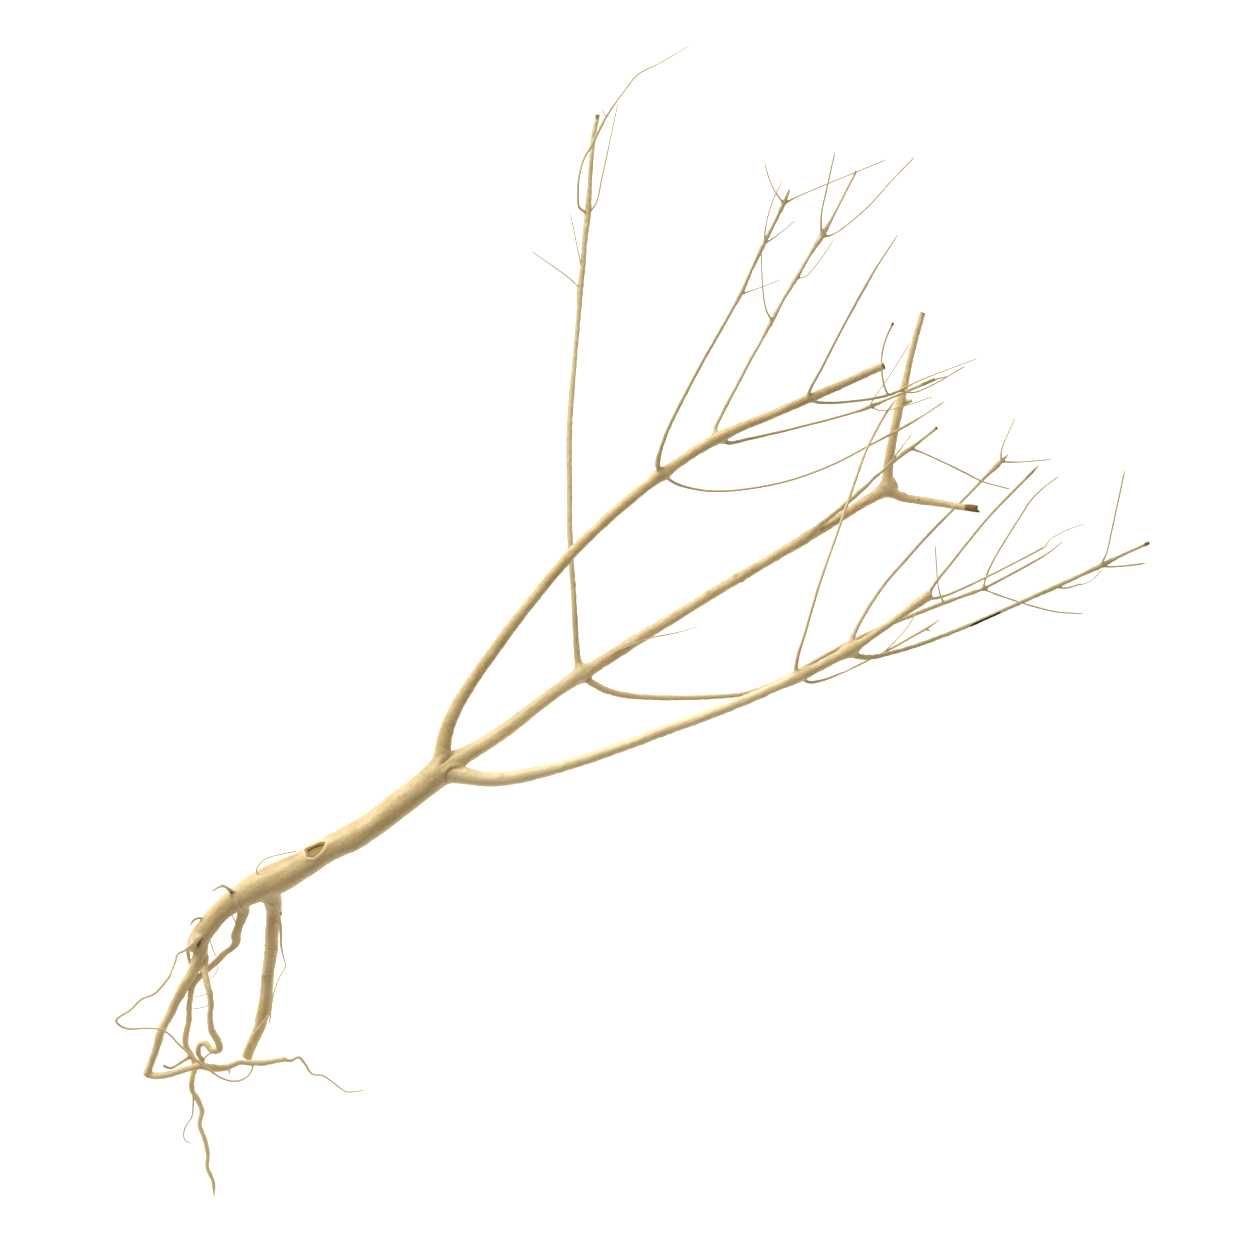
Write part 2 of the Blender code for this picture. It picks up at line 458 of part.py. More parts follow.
def tube(name, route, sides):
    """A closed tube along a route, its ends cut square."""
    mesh = bpy.data.meshes.new(name)
    bm = bmesh.new()
    forward = (route[1] - route[0]).to_3d().normalized()
    side = forward.orthogonal().normalized()
    rings = []
    for index, point in enumerate(route):
        heading = (route[min(index + 1, len(route) - 1)] - route[max(index - 1, 0)]).to_3d()
        heading.normalize()
        side = (side - heading * side.dot(heading)).normalized()
        across = heading.cross(side)
        radius = point.w / 2.0
        ring = []
        for corner in range(sides):
            angle = 2.0 * math.pi * corner / sides
            reach = (side * math.cos(angle) + across * math.sin(angle)) * radius
            ring.append(bm.verts.new(point.to_3d() + reach))
        rings.append(ring)
    bm.faces.new(reversed(rings[0]))
    for near, far in zip(rings, rings[1:]):
        for corner in range(sides):
            after = (corner + 1) % sides
            bm.faces.new((near[corner], near[after], far[after], far[corner]))
    bm.faces.new(rings[-1])
    bmesh.ops.recalc_face_normals(bm, faces=bm.faces)
    bm.to_mesh(mesh)
    bm.free()
    solid = bpy.data.objects.new(name, mesh)
    bpy.context.scene.collection.objects.link(solid)
    return solid


def wound_cutter():
    """The hollow of an old wound on the stem, as the lens that is cut out."""
    mesh = bpy.data.meshes.new("wound_cutter")
    bm = bmesh.new()
    bmesh.ops.create_uvsphere(bm, u_segments=12, v_segments=6, radius=0.5)
    along = Vector((1.0, 0.0, 0.0))
    across = WOUND_NORMAL.normalized().cross(along)
    turn = Matrix((along, across, WOUND_NORMAL.normalized())).transposed().to_4x4()
    size = Matrix.Diagonal((WOUND_LENGTH, WOUND_WIDTH, WOUND_DEPTH, 1.0))
    bm.transform(Matrix.Translation(WOUND_CENTRE) @ turn @ size)
    bmesh.ops.recalc_face_normals(bm, faces=bm.faces)
    bm.to_mesh(mesh)
    bm.free()
    cutter = bpy.data.objects.new("wound_cutter", mesh)
    bpy.context.scene.collection.objects.link(cutter)
    return cutter


def add_boolean(solid, operation, tool):
    """Join or cut one solid with another, and hide the other."""
    step = solid.modifiers.new(tool.name, "BOOLEAN")
    step.operation = operation
    step.solver = "EXACT"
    step.object = tool
    tool.hide_render = True
    tool.display_type = "WIRE"


def main():
    clear_scene()
    routes = {}
    tubes = {}
    for shoot in SHOOTS:
        routes[shoot.name] = seated_route(shoot, routes)
        tubes[shoot.name] = tube(shoot.name, routes[shoot.name], sides_for(shoot.path))
    root = tubes.pop("axis")
    root.name = "dry_root"
    root.data.materials.append(wood_material())
    for solid in tubes.values():
        add_boolean(root, "UNION", solid)
    add_boolean(root, "DIFFERENCE", wound_cutter())


main()
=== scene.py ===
"""A dry root: the peeled, sun-bleached skeleton of a small woody plant, lying on a white floor.

The plant grew as one piece. Each root, limb and twig is raised as a curve, given the uneven
section of grown wood, finished at its tip and then joined to the shoot that it springs from.
Where shoots meet, the wood is drawn out into collars. The hairs and fibres that cling to the
plant are a second piece. Everything is in metres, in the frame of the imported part.
"""

import json
import logging
import math
from dataclasses import dataclass, field
from enum import Enum

import bmesh
import bpy
import numpy as np
from mathutils import Matrix, Vector, noise

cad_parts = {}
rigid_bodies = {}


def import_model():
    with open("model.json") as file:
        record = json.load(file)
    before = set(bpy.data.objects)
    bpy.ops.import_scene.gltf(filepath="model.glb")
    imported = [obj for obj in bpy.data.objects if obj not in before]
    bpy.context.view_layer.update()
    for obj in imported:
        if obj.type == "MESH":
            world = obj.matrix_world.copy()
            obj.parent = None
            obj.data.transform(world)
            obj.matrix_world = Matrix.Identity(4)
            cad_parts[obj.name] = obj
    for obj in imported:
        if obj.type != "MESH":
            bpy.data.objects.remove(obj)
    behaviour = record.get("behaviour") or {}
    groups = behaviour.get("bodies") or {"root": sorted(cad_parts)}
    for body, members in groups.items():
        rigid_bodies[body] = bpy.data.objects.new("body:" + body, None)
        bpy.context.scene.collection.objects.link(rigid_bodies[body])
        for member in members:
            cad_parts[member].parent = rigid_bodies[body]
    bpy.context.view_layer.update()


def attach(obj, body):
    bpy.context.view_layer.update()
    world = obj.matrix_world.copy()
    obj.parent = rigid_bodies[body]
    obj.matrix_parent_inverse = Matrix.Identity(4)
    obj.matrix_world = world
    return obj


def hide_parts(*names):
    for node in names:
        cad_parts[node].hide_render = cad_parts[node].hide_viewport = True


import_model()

MM = 0.001  # the paths of the shoots are written in millimetres
BODY = "root"

log = logging.getLogger("dry_root")


class Tip(Enum):
    """How a shoot ends."""

    FINE = "drawn out to a fine point"
    CUT = "cut across, brown, with the pith a little sunk"
    BROKEN = "snapped, brown and ragged"
    BURIED = "ends inside another shoot"


class Mark(Enum):
    """A colour that the wood takes in one place; BROWN also serves as painted shade in some creases and hollows.
    """

    BROWN = 0
    WOUND = 1
    CHAR = 2
    PALE = 3


@dataclass(frozen=True)
class Shoot:
    """A root, limb or twig: where it springs from, its route and how it ends.

    Each point of the path is (x, y, z, diameter) in millimetres. The first lies in the parent.
    Tone is how pale the wood is, from -1, brown, to 1, bleached almost white.
    """

    name: str
    parent: str
    path: tuple
    tip: Tip = Tip.FINE
    tone: float = 0.0


@dataclass(frozen=True)
class Feature:
    """Something on the surface of some shoots, along a line seen from above, in millimetres.

    The wood rises by the height, or sinks if it is below 0, and takes the mark's colour. Both
    fade out over the reach. Only wood that faces up further than the facing takes part.
    """

    shoots: tuple
    path: tuple
    reach: float
    height: float = 0.0
    mark: Mark | None = None
    strength: float = 1.0
    facing: float = -1.0


RING_SPACING = 0.60 * MM  # rings are at least this far apart
RING_SPACING_SHARE = 0.055  # and this share of the diameter more
HAIR_DIAMETER = 0.95 * MM
HAIR_RING_SPACING = 1.2 * MM
NEAREST_BLOCK = 1500  # places that are measured against a centre line at once

SIDES_BY_DIAMETER = (
    (9.0 * MM, 36), (5.5 * MM, 26), (4.2 * MM, 20), (3.0 * MM, 16), (1.9 * MM, 12),
    (1.25 * MM, 10), (0.8 * MM, 8), (0.0, 6),
)
THIN_RADIUS = 2.0 * MM  # wood thinner than this is greyer
THIN_RANGE = 0.9 * MM

# The stem runs on as the middle limb, to the fork at its far end.
AXIS = Shoot("axis", "", (
    (-200, -58.8, 33, 5.6), (-195.4, -56.2, 35, 8.6), (-188.6, -53.4, 37, 9.0), (-180, -51, 38.5, 9.0),
    (-171, -50.3, 40, 10.4), (-160, -51.2, 41, 13.2), (-150, -52.6, 41.5, 13.8),
    (-140, -53.4, 42, 12.2), (-129, -53.6, 42.5, 11.4), (-117, -54.8, 43, 12.0),
    (-105, -55.2, 43.5, 11.5), (-90, -54.1, 44, 11.5), (-78, -53.1, 44.5, 11.4),
    (-68, -52, 45, 12.0), (-60, -51.6, 45, 8.6), (-50, -52.2, 44.8, 6.8), (-35, -52.3, 44, 6.4),
    (-20, -51.1, 43, 5.8), (-5, -50.2, 42, 5.8), (5, -50, 41, 6.6), (13, -50.2, 40.4, 5.5),
    (30, -50.4, 38.5, 5.3), (50, -51, 36, 4.7), (75, -51.7, 33.5, 4.6), (100, -52.7, 31, 4.3),
    (119, -53.4, 29.6, 4.8), (135, -54, 29, 4.2), (150, -54.2, 28.5, 4.6), (160, -54.6, 28, 5.6),
    (164.3, -54.6, 28, 2.6),
), tip=Tip.BURIED, tone=0.1)

ROOTS = (
    Shoot("taproot", "axis", (
        (-194.5, -57.2, 34, 7.4), (-196.6, -60, 33, 6.8), (-199, -62.4, 32, 6.0),
        (-202.6, -65, 30.2, 5.2), (-206.5, -67.2, 28.8, 4.9), (-210.2, -68.8, 27.4, 4.8),
        (-216, -71.8, 25, 4.5),
        (-224, -76.8, 21.5, 3.8), (-231, -80.4, 18.5, 3.6), (-237.6, -86.2, 14.5, 3.3),
        (-243.6, -90.7, 11, 3.3), (-247.4, -93.2, 9.5, 3.0),
    ), tip=Tip.BURIED, tone=1.5),
    Shoot("creeping_root", "taproot", (
        (-246.4, -92.6, 10, 2.6), (-243.4, -95.4, 10.8, 3.2), (-238, -98, 13, 3.0),
        (-231, -99.8, 15.5, 3.0), (-225, -102, 17, 3.2), (-221.2, -105.5, 16.5, 3.3),
        (-216.1, -108.6, 15.5, 3.1), (-210, -110.2, 14.5, 2.4), (-205, -113.6, 13, 2.4),
        (-199, -117, 11.5, 2.3), (-193, -119.6, 10.5, 2.0), (-190.8, -121.6, 10, 1.4),
        (-187.4, -122.2, 9.5, 1.2), (-186.6, -126, 8, 1.1), (-186.4, -131.5, 6, 0.9),
        (-183, -134.6, 5, 0.8), (-180.5, -140.5, 3.5, 0.7), (-178.5, -145.8, 2, 0.7),
        (-174.5, -148.3, 1, 0.6), (-171, -149.8, 0.5, 0.6),
    ), tone=1.8),
    Shoot("thick_root", "axis", (
        (-157.8, -54, 39, 9.6), (-159.4, -59.4, 35.4, 8.0), (-161.8, -63.4, 32.4, 7.0),
        (-165.4, -68.3, 29, 6.2),
        (-170.8, -75.6, 24, 6.0), (-177, -83, 19.5, 5.8), (-184, -91.5, 14, 5.8),
        (-190, -98, 10, 5.7), (-196, -103.1, 7, 5.0), (-202, -107, 4.2, 4.6),
        (-206.5, -110, 2.3, 4.4),
    ), tip=Tip.CUT, tone=1.0),
    Shoot("clinging_rootlet", "axis", (
        (-161.5, -54.5, 39, 3.4), (-161.4, -57.4, 39, 3.2), (-160.4, -60.2, 38.8, 2.6),
        (-160, -63, 38, 2.0), (-161, -66.6, 36.6, 1.6), (-162.7, -70.4, 34.6, 1.45),
        (-165, -74.5, 32, 1.2), (-167, -77.9, 30, 1.0), (-168.6, -81.8, 28, 0.7),
        (-170.3, -86.1, 26, 0.5), (-174.7, -88.4, 22.5, 0.5), (-179.1, -91.5, 20, 0.5),
        (-184.3, -96.5, 17, 0.7), (-187, -99.2, 15, 0.9), (-194, -102, 10.6, 0.9),
        (-199, -104, 8, 0.7),
    ), tone=1.9),
    Shoot("side_rootlet", "axis", (
        (-199.5, -56.5, 34, 2.4), (-201.6, -57.2, 33, 2.0), (-202.6, -59.6, 31.5, 1.8),
        (-203.9, -62.8, 30, 1.6), (-204.8, -65.6, 28.8, 1.2),
    ), tone=1.6),
    Shoot("wandering_root", "axis", (
        (-170, -52, 38, 5.2), (-171.6, -55.4, 36.5, 5.2), (-173.9, -57.7, 35.2, 4.6),
        (-178, -60.9, 33.4, 3.8), (-180.7, -63.2, 32, 4.2), (-182.2, -65.7, 31.2, 4.0),
        (-184.8, -66.6, 30.8, 3.5), (-189, -67, 30.4, 3.2), (-194.6, -68.2, 29.6, 3.0), (-203, -69.6, 28.2, 2.6), (-208, -71, 26.4, 2.6),
        (-213, -76.2, 23, 2.7), (-218, -82.7, 19.5, 2.6), (-223.4, -88, 16, 2.8),
        (-225.3, -92.5, 13.5, 2.6), (-225.5, -97, 11, 2.8), (-227, -101, 9.5, 2.6),
        (-230.8, -104.8, 9, 2.5), (-233.7, -109.2, 8.5, 2.5), (-233.9, -114, 8, 2.4),
        (-235, -118.8, 7.2, 2.3), (-239.3, -123.6, 6.5, 2.2), (-240.6, -130, 5.5, 2.0),
        (-243, -135.5, 4, 2.0), (-246.5, -140.5, 2.8, 1.9), (-247.8, -147, 1.8, 1.7),
        (-251, -152.7, 0.7, 1.3),
    ), tone=1.9),
    Shoot("wandering_rootlet", "wandering_root", (
        (-233.8, -110.5, 8.5, 1.0), (-237, -115, 8, 0.7), (-240, -118.6, 7.5, 0.6),
        (-245.5, -121.4, 7, 0.6), (-248, -125.2, 6, 0.6), (-246.6, -128.4, 5.5, 0.5),
    )),
    Shoot("wandering_stub", "wandering_root", (
        (-225.5, -96.5, 11.2, 2.0), (-230.5, -96.4, 12, 1.4), (-236, -95.9, 13.5, 1.3),
        (-238.2, -93.2, 14.5, 1.4),
    ), tip=Tip.CUT),
    Shoot("coiled_root", "axis", (
        (-194.6, -58.5, 31, 3.6), (-196.8, -63.2, 31.5, 3.3), (-200, -68.4, 33.2, 3.1),
        (-202.2, -73.2, 34.6, 3.1), (-203.4, -76.9, 35, 3.0), (-205.5, -81.7, 33.5, 2.8), (-209.4, -86.7, 31, 2.7),
        (-211.8, -92, 29, 3.0), (-212.3, -97.5, 27, 3.2), (-214, -100.7, 25.5, 3.2),
        (-216.6, -99, 24, 3.0), (-217.2, -95.2, 23, 2.8), (-219.8, -94.4, 22, 2.4),
        (-222.4, -97, 20.5, 2.4), (-222.8, -101, 18, 2.2),
    ), tip=Tip.CUT, tone=1.4),
    Shoot("looping_root", "axis", (
        (-190.5, -55, 38.4, 4.0), (-193.3, -55, 39.4, 3.8), (-196.5, -55.6, 39.6, 3.2),
        (-200, -56.5, 40, 2.3), (-203, -56.7, 40.6, 1.6), (-205.6, -56.2, 41, 1.4),
        (-209, -59, 42, 1.3), (-213.5, -62.2, 42.5, 1.2), (-218.5, -63.9, 42, 1.2),
        (-224, -65, 41, 1.2), (-229.5, -64, 40, 1.2), (-236, -65.2, 38, 1.1),
        (-243.8, -65.8, 36, 1.2), (-243.6, -69, 35, 1.1), (-241.6, -71.6, 34, 1.0),
        (-236, -75, 31, 0.9), (-230.8, -79, 27.5, 0.9), (-228.4, -83, 25.5, 1.0),
        (-227, -90, 24, 1.0), (-225.4, -97, 22.5, 1.1), (-223.2, -103.5, 21, 1.1),
        (-219.5, -112, 18.5, 0.9), (-216, -115.6, 17, 0.8), (-212, -117.1, 15.5, 0.8),
        (-208.5, -116.6, 14, 0.8), (-205, -113.8, 13, 0.8),
    ), tip=Tip.BURIED, tone=1.5),
    Shoot("collar_rootlet", "axis", (
        (-189, -52.5, 38.5, 1.6), (-189.3, -48.7, 40, 1.2), (-192.4, -47.8, 40.5, 1.1),
        (-195.2, -49.6, 40.5, 1.0),
    )),
    Shoot("forked_rootlet", "axis", (
        (-171.4, -49, 42, 2.8), (-172, -45.4, 46, 1.8), (-172.8, -43.2, 46.6, 1.3),
        (-174.6, -42, 46.6, 1.0), (-178.5, -41.8, 46, 0.7),
    ), tip=Tip.CUT),
)

SIDE_LIMBS = (
    Shoot("left_limb", "axis", (
        (-69, -51.6, 45, 8.0), (-63, -45.4, 46, 7.2), (-56, -38.3, 47.4, 6.2),
        (-46, -31.9, 49, 5.7), (-33, -25.9, 51, 5.2), (-15, -18.8, 54, 5.1), (5, -11.8, 57, 4.6),
        (30, -4.2, 60, 4.8), (55, 0.6, 61.5, 4.7), (75, 2.8, 62, 4.8), (82, 3.1, 62, 5.4),
        (90, 3.6, 62, 4.5), (103, 3.7, 62, 4.7), (110, 3.2, 62, 5.4), (118, 2.2, 61.5, 4.3),
        (135, -1, 60, 3.9), (152, -3.9, 58, 4.1), (170, -6.9, 56, 3.6), (186.6, -9.4, 54, 3.6),
    ), tip=Tip.CUT, tone=0.1),
    Shoot("right_limb", "axis", (
        (-69, -51.6, 45, 8.4), (-62, -57.8, 45.8, 7.8), (-54.2, -65, 47, 6.6),
        (-45.2, -70.4, 48.3, 6.1), (-33, -75.3, 49.8, 5.6), (-18, -80.2, 51, 4.9),
        (0, -84.8, 52, 4.7), (20, -89.3, 52.8, 4.5), (40, -93.8, 53, 4.5), (60, -97.9, 52.8, 4.4),
        (74, -100.2, 52.4, 4.3), (83, -101.5, 52, 5.6), (92, -102.7, 51.4, 4.2),
        (101, -103.5, 50.6, 4.4), (107.5, -104, 50, 6.0), (114, -104.2, 49.3, 3.8),
        (125, -104, 48.2, 3.0), (138, -103.4, 46.9, 3.2), (145, -103, 46.2, 4.4),
        (150.3, -103, 45.6, 3.6),
    ), tip=Tip.BURIED, tone=0.7),
    Shoot("up_branch", "axis", (
        (159.5, -54.5, 28, 5.4), (162.5, -50.3, 28, 4.8), (167, -44.6, 28, 4.4),
        (172.5, -38.6, 27.8, 4.0), (178.5, -32.4, 27.5, 3.9), (184, -26.8, 27, 4.2),
        (187.5, -23.5, 26.8, 3.8), (192.5, -18.8, 26.3, 3.1), (199, -12.4, 25.6, 2.9),
        (206, -5.9, 25, 2.8), (213.6, 0.6, 24.2, 2.6),
    ), tip=Tip.CUT, tone=0.5),
    Shoot("up_branch_stub", "up_branch", (
        (184.5, -26.4, 27, 3.2), (187, -28, 27.5, 2.2), (188.8, -28.6, 28, 1.4),
    ), tip=Tip.BROKEN),
    Shoot("down_branch", "axis", (
        (159.5, -54.8, 28, 5.2), (162.2, -60.2, 30, 4.2), (168.1, -66.3, 32.5, 3.7),
        (174.2, -71.6, 34.5, 3.3), (179.5, -76.7, 36.5, 3.1), (187, -83, 39, 3.2),
    ), tip=Tip.BROKEN, tone=0.7),
)

STEM_TWIGS = (
    Shoot("long_twig", "axis", (
        (5, -49.8, 41, 4.0), (7.6, -43.5, 41, 3.1), (11, -37, 40.5, 2.7), (20, -21.4, 39.5, 2.5),
        (34, 3.4, 37, 2.5), (44, 19, 33.5, 2.5), (60, 43.6, 27, 2.6), (80, 69.6, 19.5, 2.2),
        (90, 82.6, 16, 2.3), (95.5, 90, 14, 2.9), (101.4, 97, 12.5, 2.5), (109.3, 107.3, 10.5, 2.6),
        (116, 115.5, 8.5, 3.1), (123.3, 125.3, 6.5, 2.1), (136, 142, 3, 2.2), (142.8, 149, 1, 1.9),
    ), tip=Tip.CUT, tone=-0.1),
    Shoot("long_twig_hair", "long_twig", (
        (95.2, 90, 14, 0.9), (94, 96, 15.5, 0.7), (91, 104, 17.5, 0.6), (86.5, 115, 20, 0.5),
    )),
    Shoot("long_twig_loop", "long_twig", (
        (116, 115.6, 8.5, 1.8), (114.3, 119.5, 10.5, 1.2), (117.4, 125.5, 12.5, 1.1),
        (121.8, 131.2, 13, 1.1), (127.5, 136.2, 11, 1.2), (133.4, 139.3, 8.8, 1.3), (145, 146, 8.5, 1.2),
        (152, 149, 9, 0.9), (160, 152, 9, 0.8), (166.5, 154, 9, 0.8), (178, 153, 9, 0.6),
        (192, 152.2, 9, 0.5),
    )),
    Shoot("long_twig_spray", "long_twig", (
        (116.3, 115.2, 8.5, 1.4), (121, 117, 9, 0.8), (130, 125.6, 9.5, 0.7),
        (153, 148.5, 10.5, 0.5),
    )),
    Shoot("under_twig", "axis", (
        (5, -50.2, 41, 4.2), (7, -55.5, 40.5, 3.4), (10.5, -61.5, 39.5, 3.0),
        (17, -68.4, 38, 2.7), (30, -78, 36, 2.4), (45, -87.5, 34, 2.1), (60, -95.3, 32.5, 2.0),
        (75, -98.8, 31, 1.9), (95, -100.2, 29, 1.8), (115, -102, 26.5, 1.8),
        (130, -104.6, 24.5, 1.7), (153, -109.3, 20.5, 1.9), (163, -111.6, 18.5, 1.6),
        (171, -113.6, 17, 2.6),
    ), tone=0.5),
    Shoot("under_twig_rise", "under_twig", (
        (170.6, -113.4, 17, 1.4), (175, -109.5, 18.5, 0.9), (182, -105, 21, 0.8),
        (202, -95.5, 26.5, 0.8), (209, -92.4, 28, 0.8), (216, -91, 29, 0.7),
        (224.5, -90.4, 30, 0.7),
    )),
    Shoot("under_twig_tip", "under_twig", (
        (170.6, -113.6, 17, 1.8), (178, -114.2, 16, 1.2), (196, -115.6, 13, 1.1),
        (204, -115.8, 11.5, 0.7), (211, -115.1, 10.5, 0.5),
    )),
    Shoot("under_twig_fall", "under_twig", (
        (170.6, -113.7, 17, 1.2), (175.5, -120.3, 14.5, 0.8), (187, -134, 9, 0.8),
        (192.5, -139.5, 6.5, 0.7), (201.5, -146.3, 3, 0.6),
    )),
    Shoot("under_twig_hair", "under_twig", (
        (153, -109, 20.5, 1.0), (154.5, -103, 24, 0.6), (163.3, -86.4, 33, 0.5),
    )),
    Shoot("side_twig", "axis", (
        (117, -53.4, 30, 3.2), (125, -52.3, 32.5, 2.7), (135, -51.2, 35, 2.2),
        (148, -49.4, 37.5, 1.9), (160, -47.6, 39.5, 1.8), (170, -46, 41, 1.8),
        (177, -45.6, 41.5, 2.0), (184, -45, 42, 1.3), (191.5, -44.3, 42.5, 1.4),
    ), tip=Tip.CUT, tone=0.4),
    Shoot("side_twig_fall", "side_twig", (
        (177, -45.8, 41.5, 1.6), (180.5, -50.2, 40, 0.8), (191, -67, 34, 0.9),
        (195.5, -74.5, 31.5, 0.7), (204, -84, 28, 0.6),
    )),
    Shoot("side_twig_spur", "side_twig", (
        (165, -46.8, 40.2, 1.3), (170, -44.6, 41.5, 0.8), (181, -40.7, 43.5, 0.6),
    )),
)

LEFT_TWIGS = (
    Shoot("crest_twig", "left_limb", (
        (82, 3, 62, 3.4), (81.5, 7, 64.5, 2.6), (84.9, 11.2, 67.5, 2.1), (90.3, 15.5, 71, 1.8),
        (98.2, 20.7, 75, 1.7), (120, 33, 84.5, 1.5), (135, 40.8, 90, 1.5), (145, 46, 93.5, 1.5),
        (151.5, 49.5, 95.5, 2.0), (160, 55, 98, 1.5), (171, 61.8, 101.5, 2.0),
        (180, 67, 104, 1.5), (187.5, 71.6, 106, 2.0), (192.5, 75.2, 107.5, 1.0),
    ), tip=Tip.CUT, tone=0.4),
    Shoot("crest_hair_low", "crest_twig", (
        (151, 49.2, 95.4, 1.0), (157, 47.7, 96, 0.6), (169, 45, 97, 0.5),
    )),
    Shoot("crest_hair_left", "crest_twig", (
        (171, 61.9, 101.5, 1.0), (176.5, 68.5, 105, 0.6), (184, 75, 107.5, 0.6),
        (192, 80, 109, 0.5),
    )),
    Shoot("crest_hair_right", "crest_twig", (
        (170.5, 61.5, 101.4, 0.9), (178, 61.8, 101, 0.6), (188, 62.9, 100, 0.5),
    )),
    Shoot("crest_tip_left", "crest_twig", (
        (187.2, 71.6, 106, 1.2), (187, 78, 108, 0.6), (188, 84.5, 109.5, 0.6),
        (190, 91, 110.5, 0.5),
    )),
    Shoot("crest_tip_right", "crest_twig", (
        (187.2, 71.4, 106, 1.3), (193, 71, 105.5, 0.8), (201, 69.7, 104.5, 0.7),
        (234.5, 63.5, 100, 0.6),
    )),
    Shoot("arching_twig", "left_limb", (
        (81.5, 2.8, 62, 2.6), (83, -1.5, 59.5, 1.7), (86, -6, 57.5, 1.3), (92, -12, 55, 1.1),
        (100.2, -17.7, 52.5, 1.0), (110.2, -22.8, 50, 1.0), (122.1, -27.6, 47, 1.0),
        (135.1, -31.3, 44.5, 1.0), (148, -33.6, 42.5, 1.0), (162, -34.8, 41, 1.0),
        (182, -36.4, 39.5, 1.3), (190, -36.7, 39, 0.8), (200.5, -36.5, 38.5, 0.9),
    ), tone=0.6),
    Shoot("spread_twig", "left_limb", (
        (108.5, 3, 62, 3.2), (111, 7.2, 61.5, 2.0), (117, 11, 60.5, 1.7), (138.2, 22.9, 57, 1.5),
        (148.2, 28.2, 55.5, 1.5), (156.7, 32.9, 54, 2.2), (166, 38, 52, 1.5),
        (175.7, 42.7, 50, 2.1), (185.1, 47.4, 48, 1.6), (194.6, 51.8, 46, 2.8), (203, 56.2, 44, 1.4),
        (222.5, 67.3, 39, 1.2),
    ), tip=Tip.CUT),
    Shoot("spread_curl", "spread_twig", (
        (156.5, 33.4, 54, 1.2), (157, 37.5, 57, 0.8), (160, 45, 62, 0.7),
        (169, 60.5, 73, 0.6),
    )),
    Shoot("spread_hair", "spread_twig", (
        (175.2, 42.8, 50, 1.0), (179, 41, 50, 0.6), (187, 43, 50.5, 0.6), (198.5, 47.8, 51.5, 0.5),
    )),
    Shoot("spread_rise", "spread_twig", (
        (194.2, 52.2, 46, 1.4), (199, 59, 49, 0.9), (208, 68.3, 53.5, 0.8), (219, 79, 58, 0.7),
    )),
    Shoot("spread_sweep", "spread_twig", (
        (194.2, 51.8, 46, 1.6), (198.5, 49.9, 45.5, 0.9), (208, 50.1, 44.5, 0.8),
        (220, 52, 43, 0.8), (233, 55.5, 41.5, 0.7), (247, 58.7, 40, 0.8),
    )),
    Shoot("crossing_twig", "left_limb", (
        (109, 2.6, 62, 3.0), (113, -1.4, 60, 1.9), (120, -4.1, 57.5, 1.5), (142, -12, 51, 1.2),
        (165, -19.3, 43.5, 1.2), (172, -21, 41, 2.0), (180, -22.4, 39, 1.2),
        (190, -24.2, 37, 1.4), (202, -26.3, 35, 1.6),
    ), tip=Tip.CUT, tone=0.5),
    Shoot("crossing_hair_rise", "crossing_twig", (
        (172, -20.9, 41, 1.0), (176, -18.6, 42.5, 0.6), (186, -14.6, 45, 0.5),
        (201.3, -7.4, 48, 0.5),
    )),
    Shoot("crossing_hair_fall", "crossing_twig", (
        (172, -21.2, 41, 0.9), (175.5, -25.2, 40, 0.5), (184, -28.6, 37.5, 0.5),
        (197.5, -32.2, 34, 0.5),
    )),
    Shoot("last_twig", "left_limb", (
        (151.5, -4, 58, 2.6), (154, -7.2, 56, 1.6), (160, -11.3, 53, 1.3), (168, -15.6, 50, 1.2),
        (176, -19.2, 47, 1.3), (182, -21.3, 45, 1.5), (188, -22.3, 43.5, 1.1),
        (196, -23.2, 42, 0.7), (222.5, -28.8, 37, 0.5),
    )),
    Shoot("last_twig_fall", "last_twig", (
        (186.5, -22.2, 43.8, 1.0), (191, -26, 42, 0.8), (199, -27.7, 40, 0.7),
        (216.3, -28.7, 37, 0.6),
    )),
    Shoot("last_twig_rise", "last_twig", (
        (181.3, -21.1, 45.2, 1.2), (182, -17, 46, 0.9), (184, -12.2, 47, 0.9),
        (187, -7, 48, 0.9), (190.5, -3, 49, 0.9), (195, 0.7, 50, 0.9), (200, 3.8, 51, 1.2),
    ), tip=Tip.CUT),
    Shoot("straight_twig", "left_limb", (
        (151, -3.8, 58, 2.4), (154, -1, 60.5, 1.6), (160, 2.2, 62.5, 1.3), (182, 14.7, 69, 1.2),
        (200, 24.3, 74, 1.3), (206, 27.3, 75.5, 1.0), (222, 34.4, 79, 0.6),
    )),
)

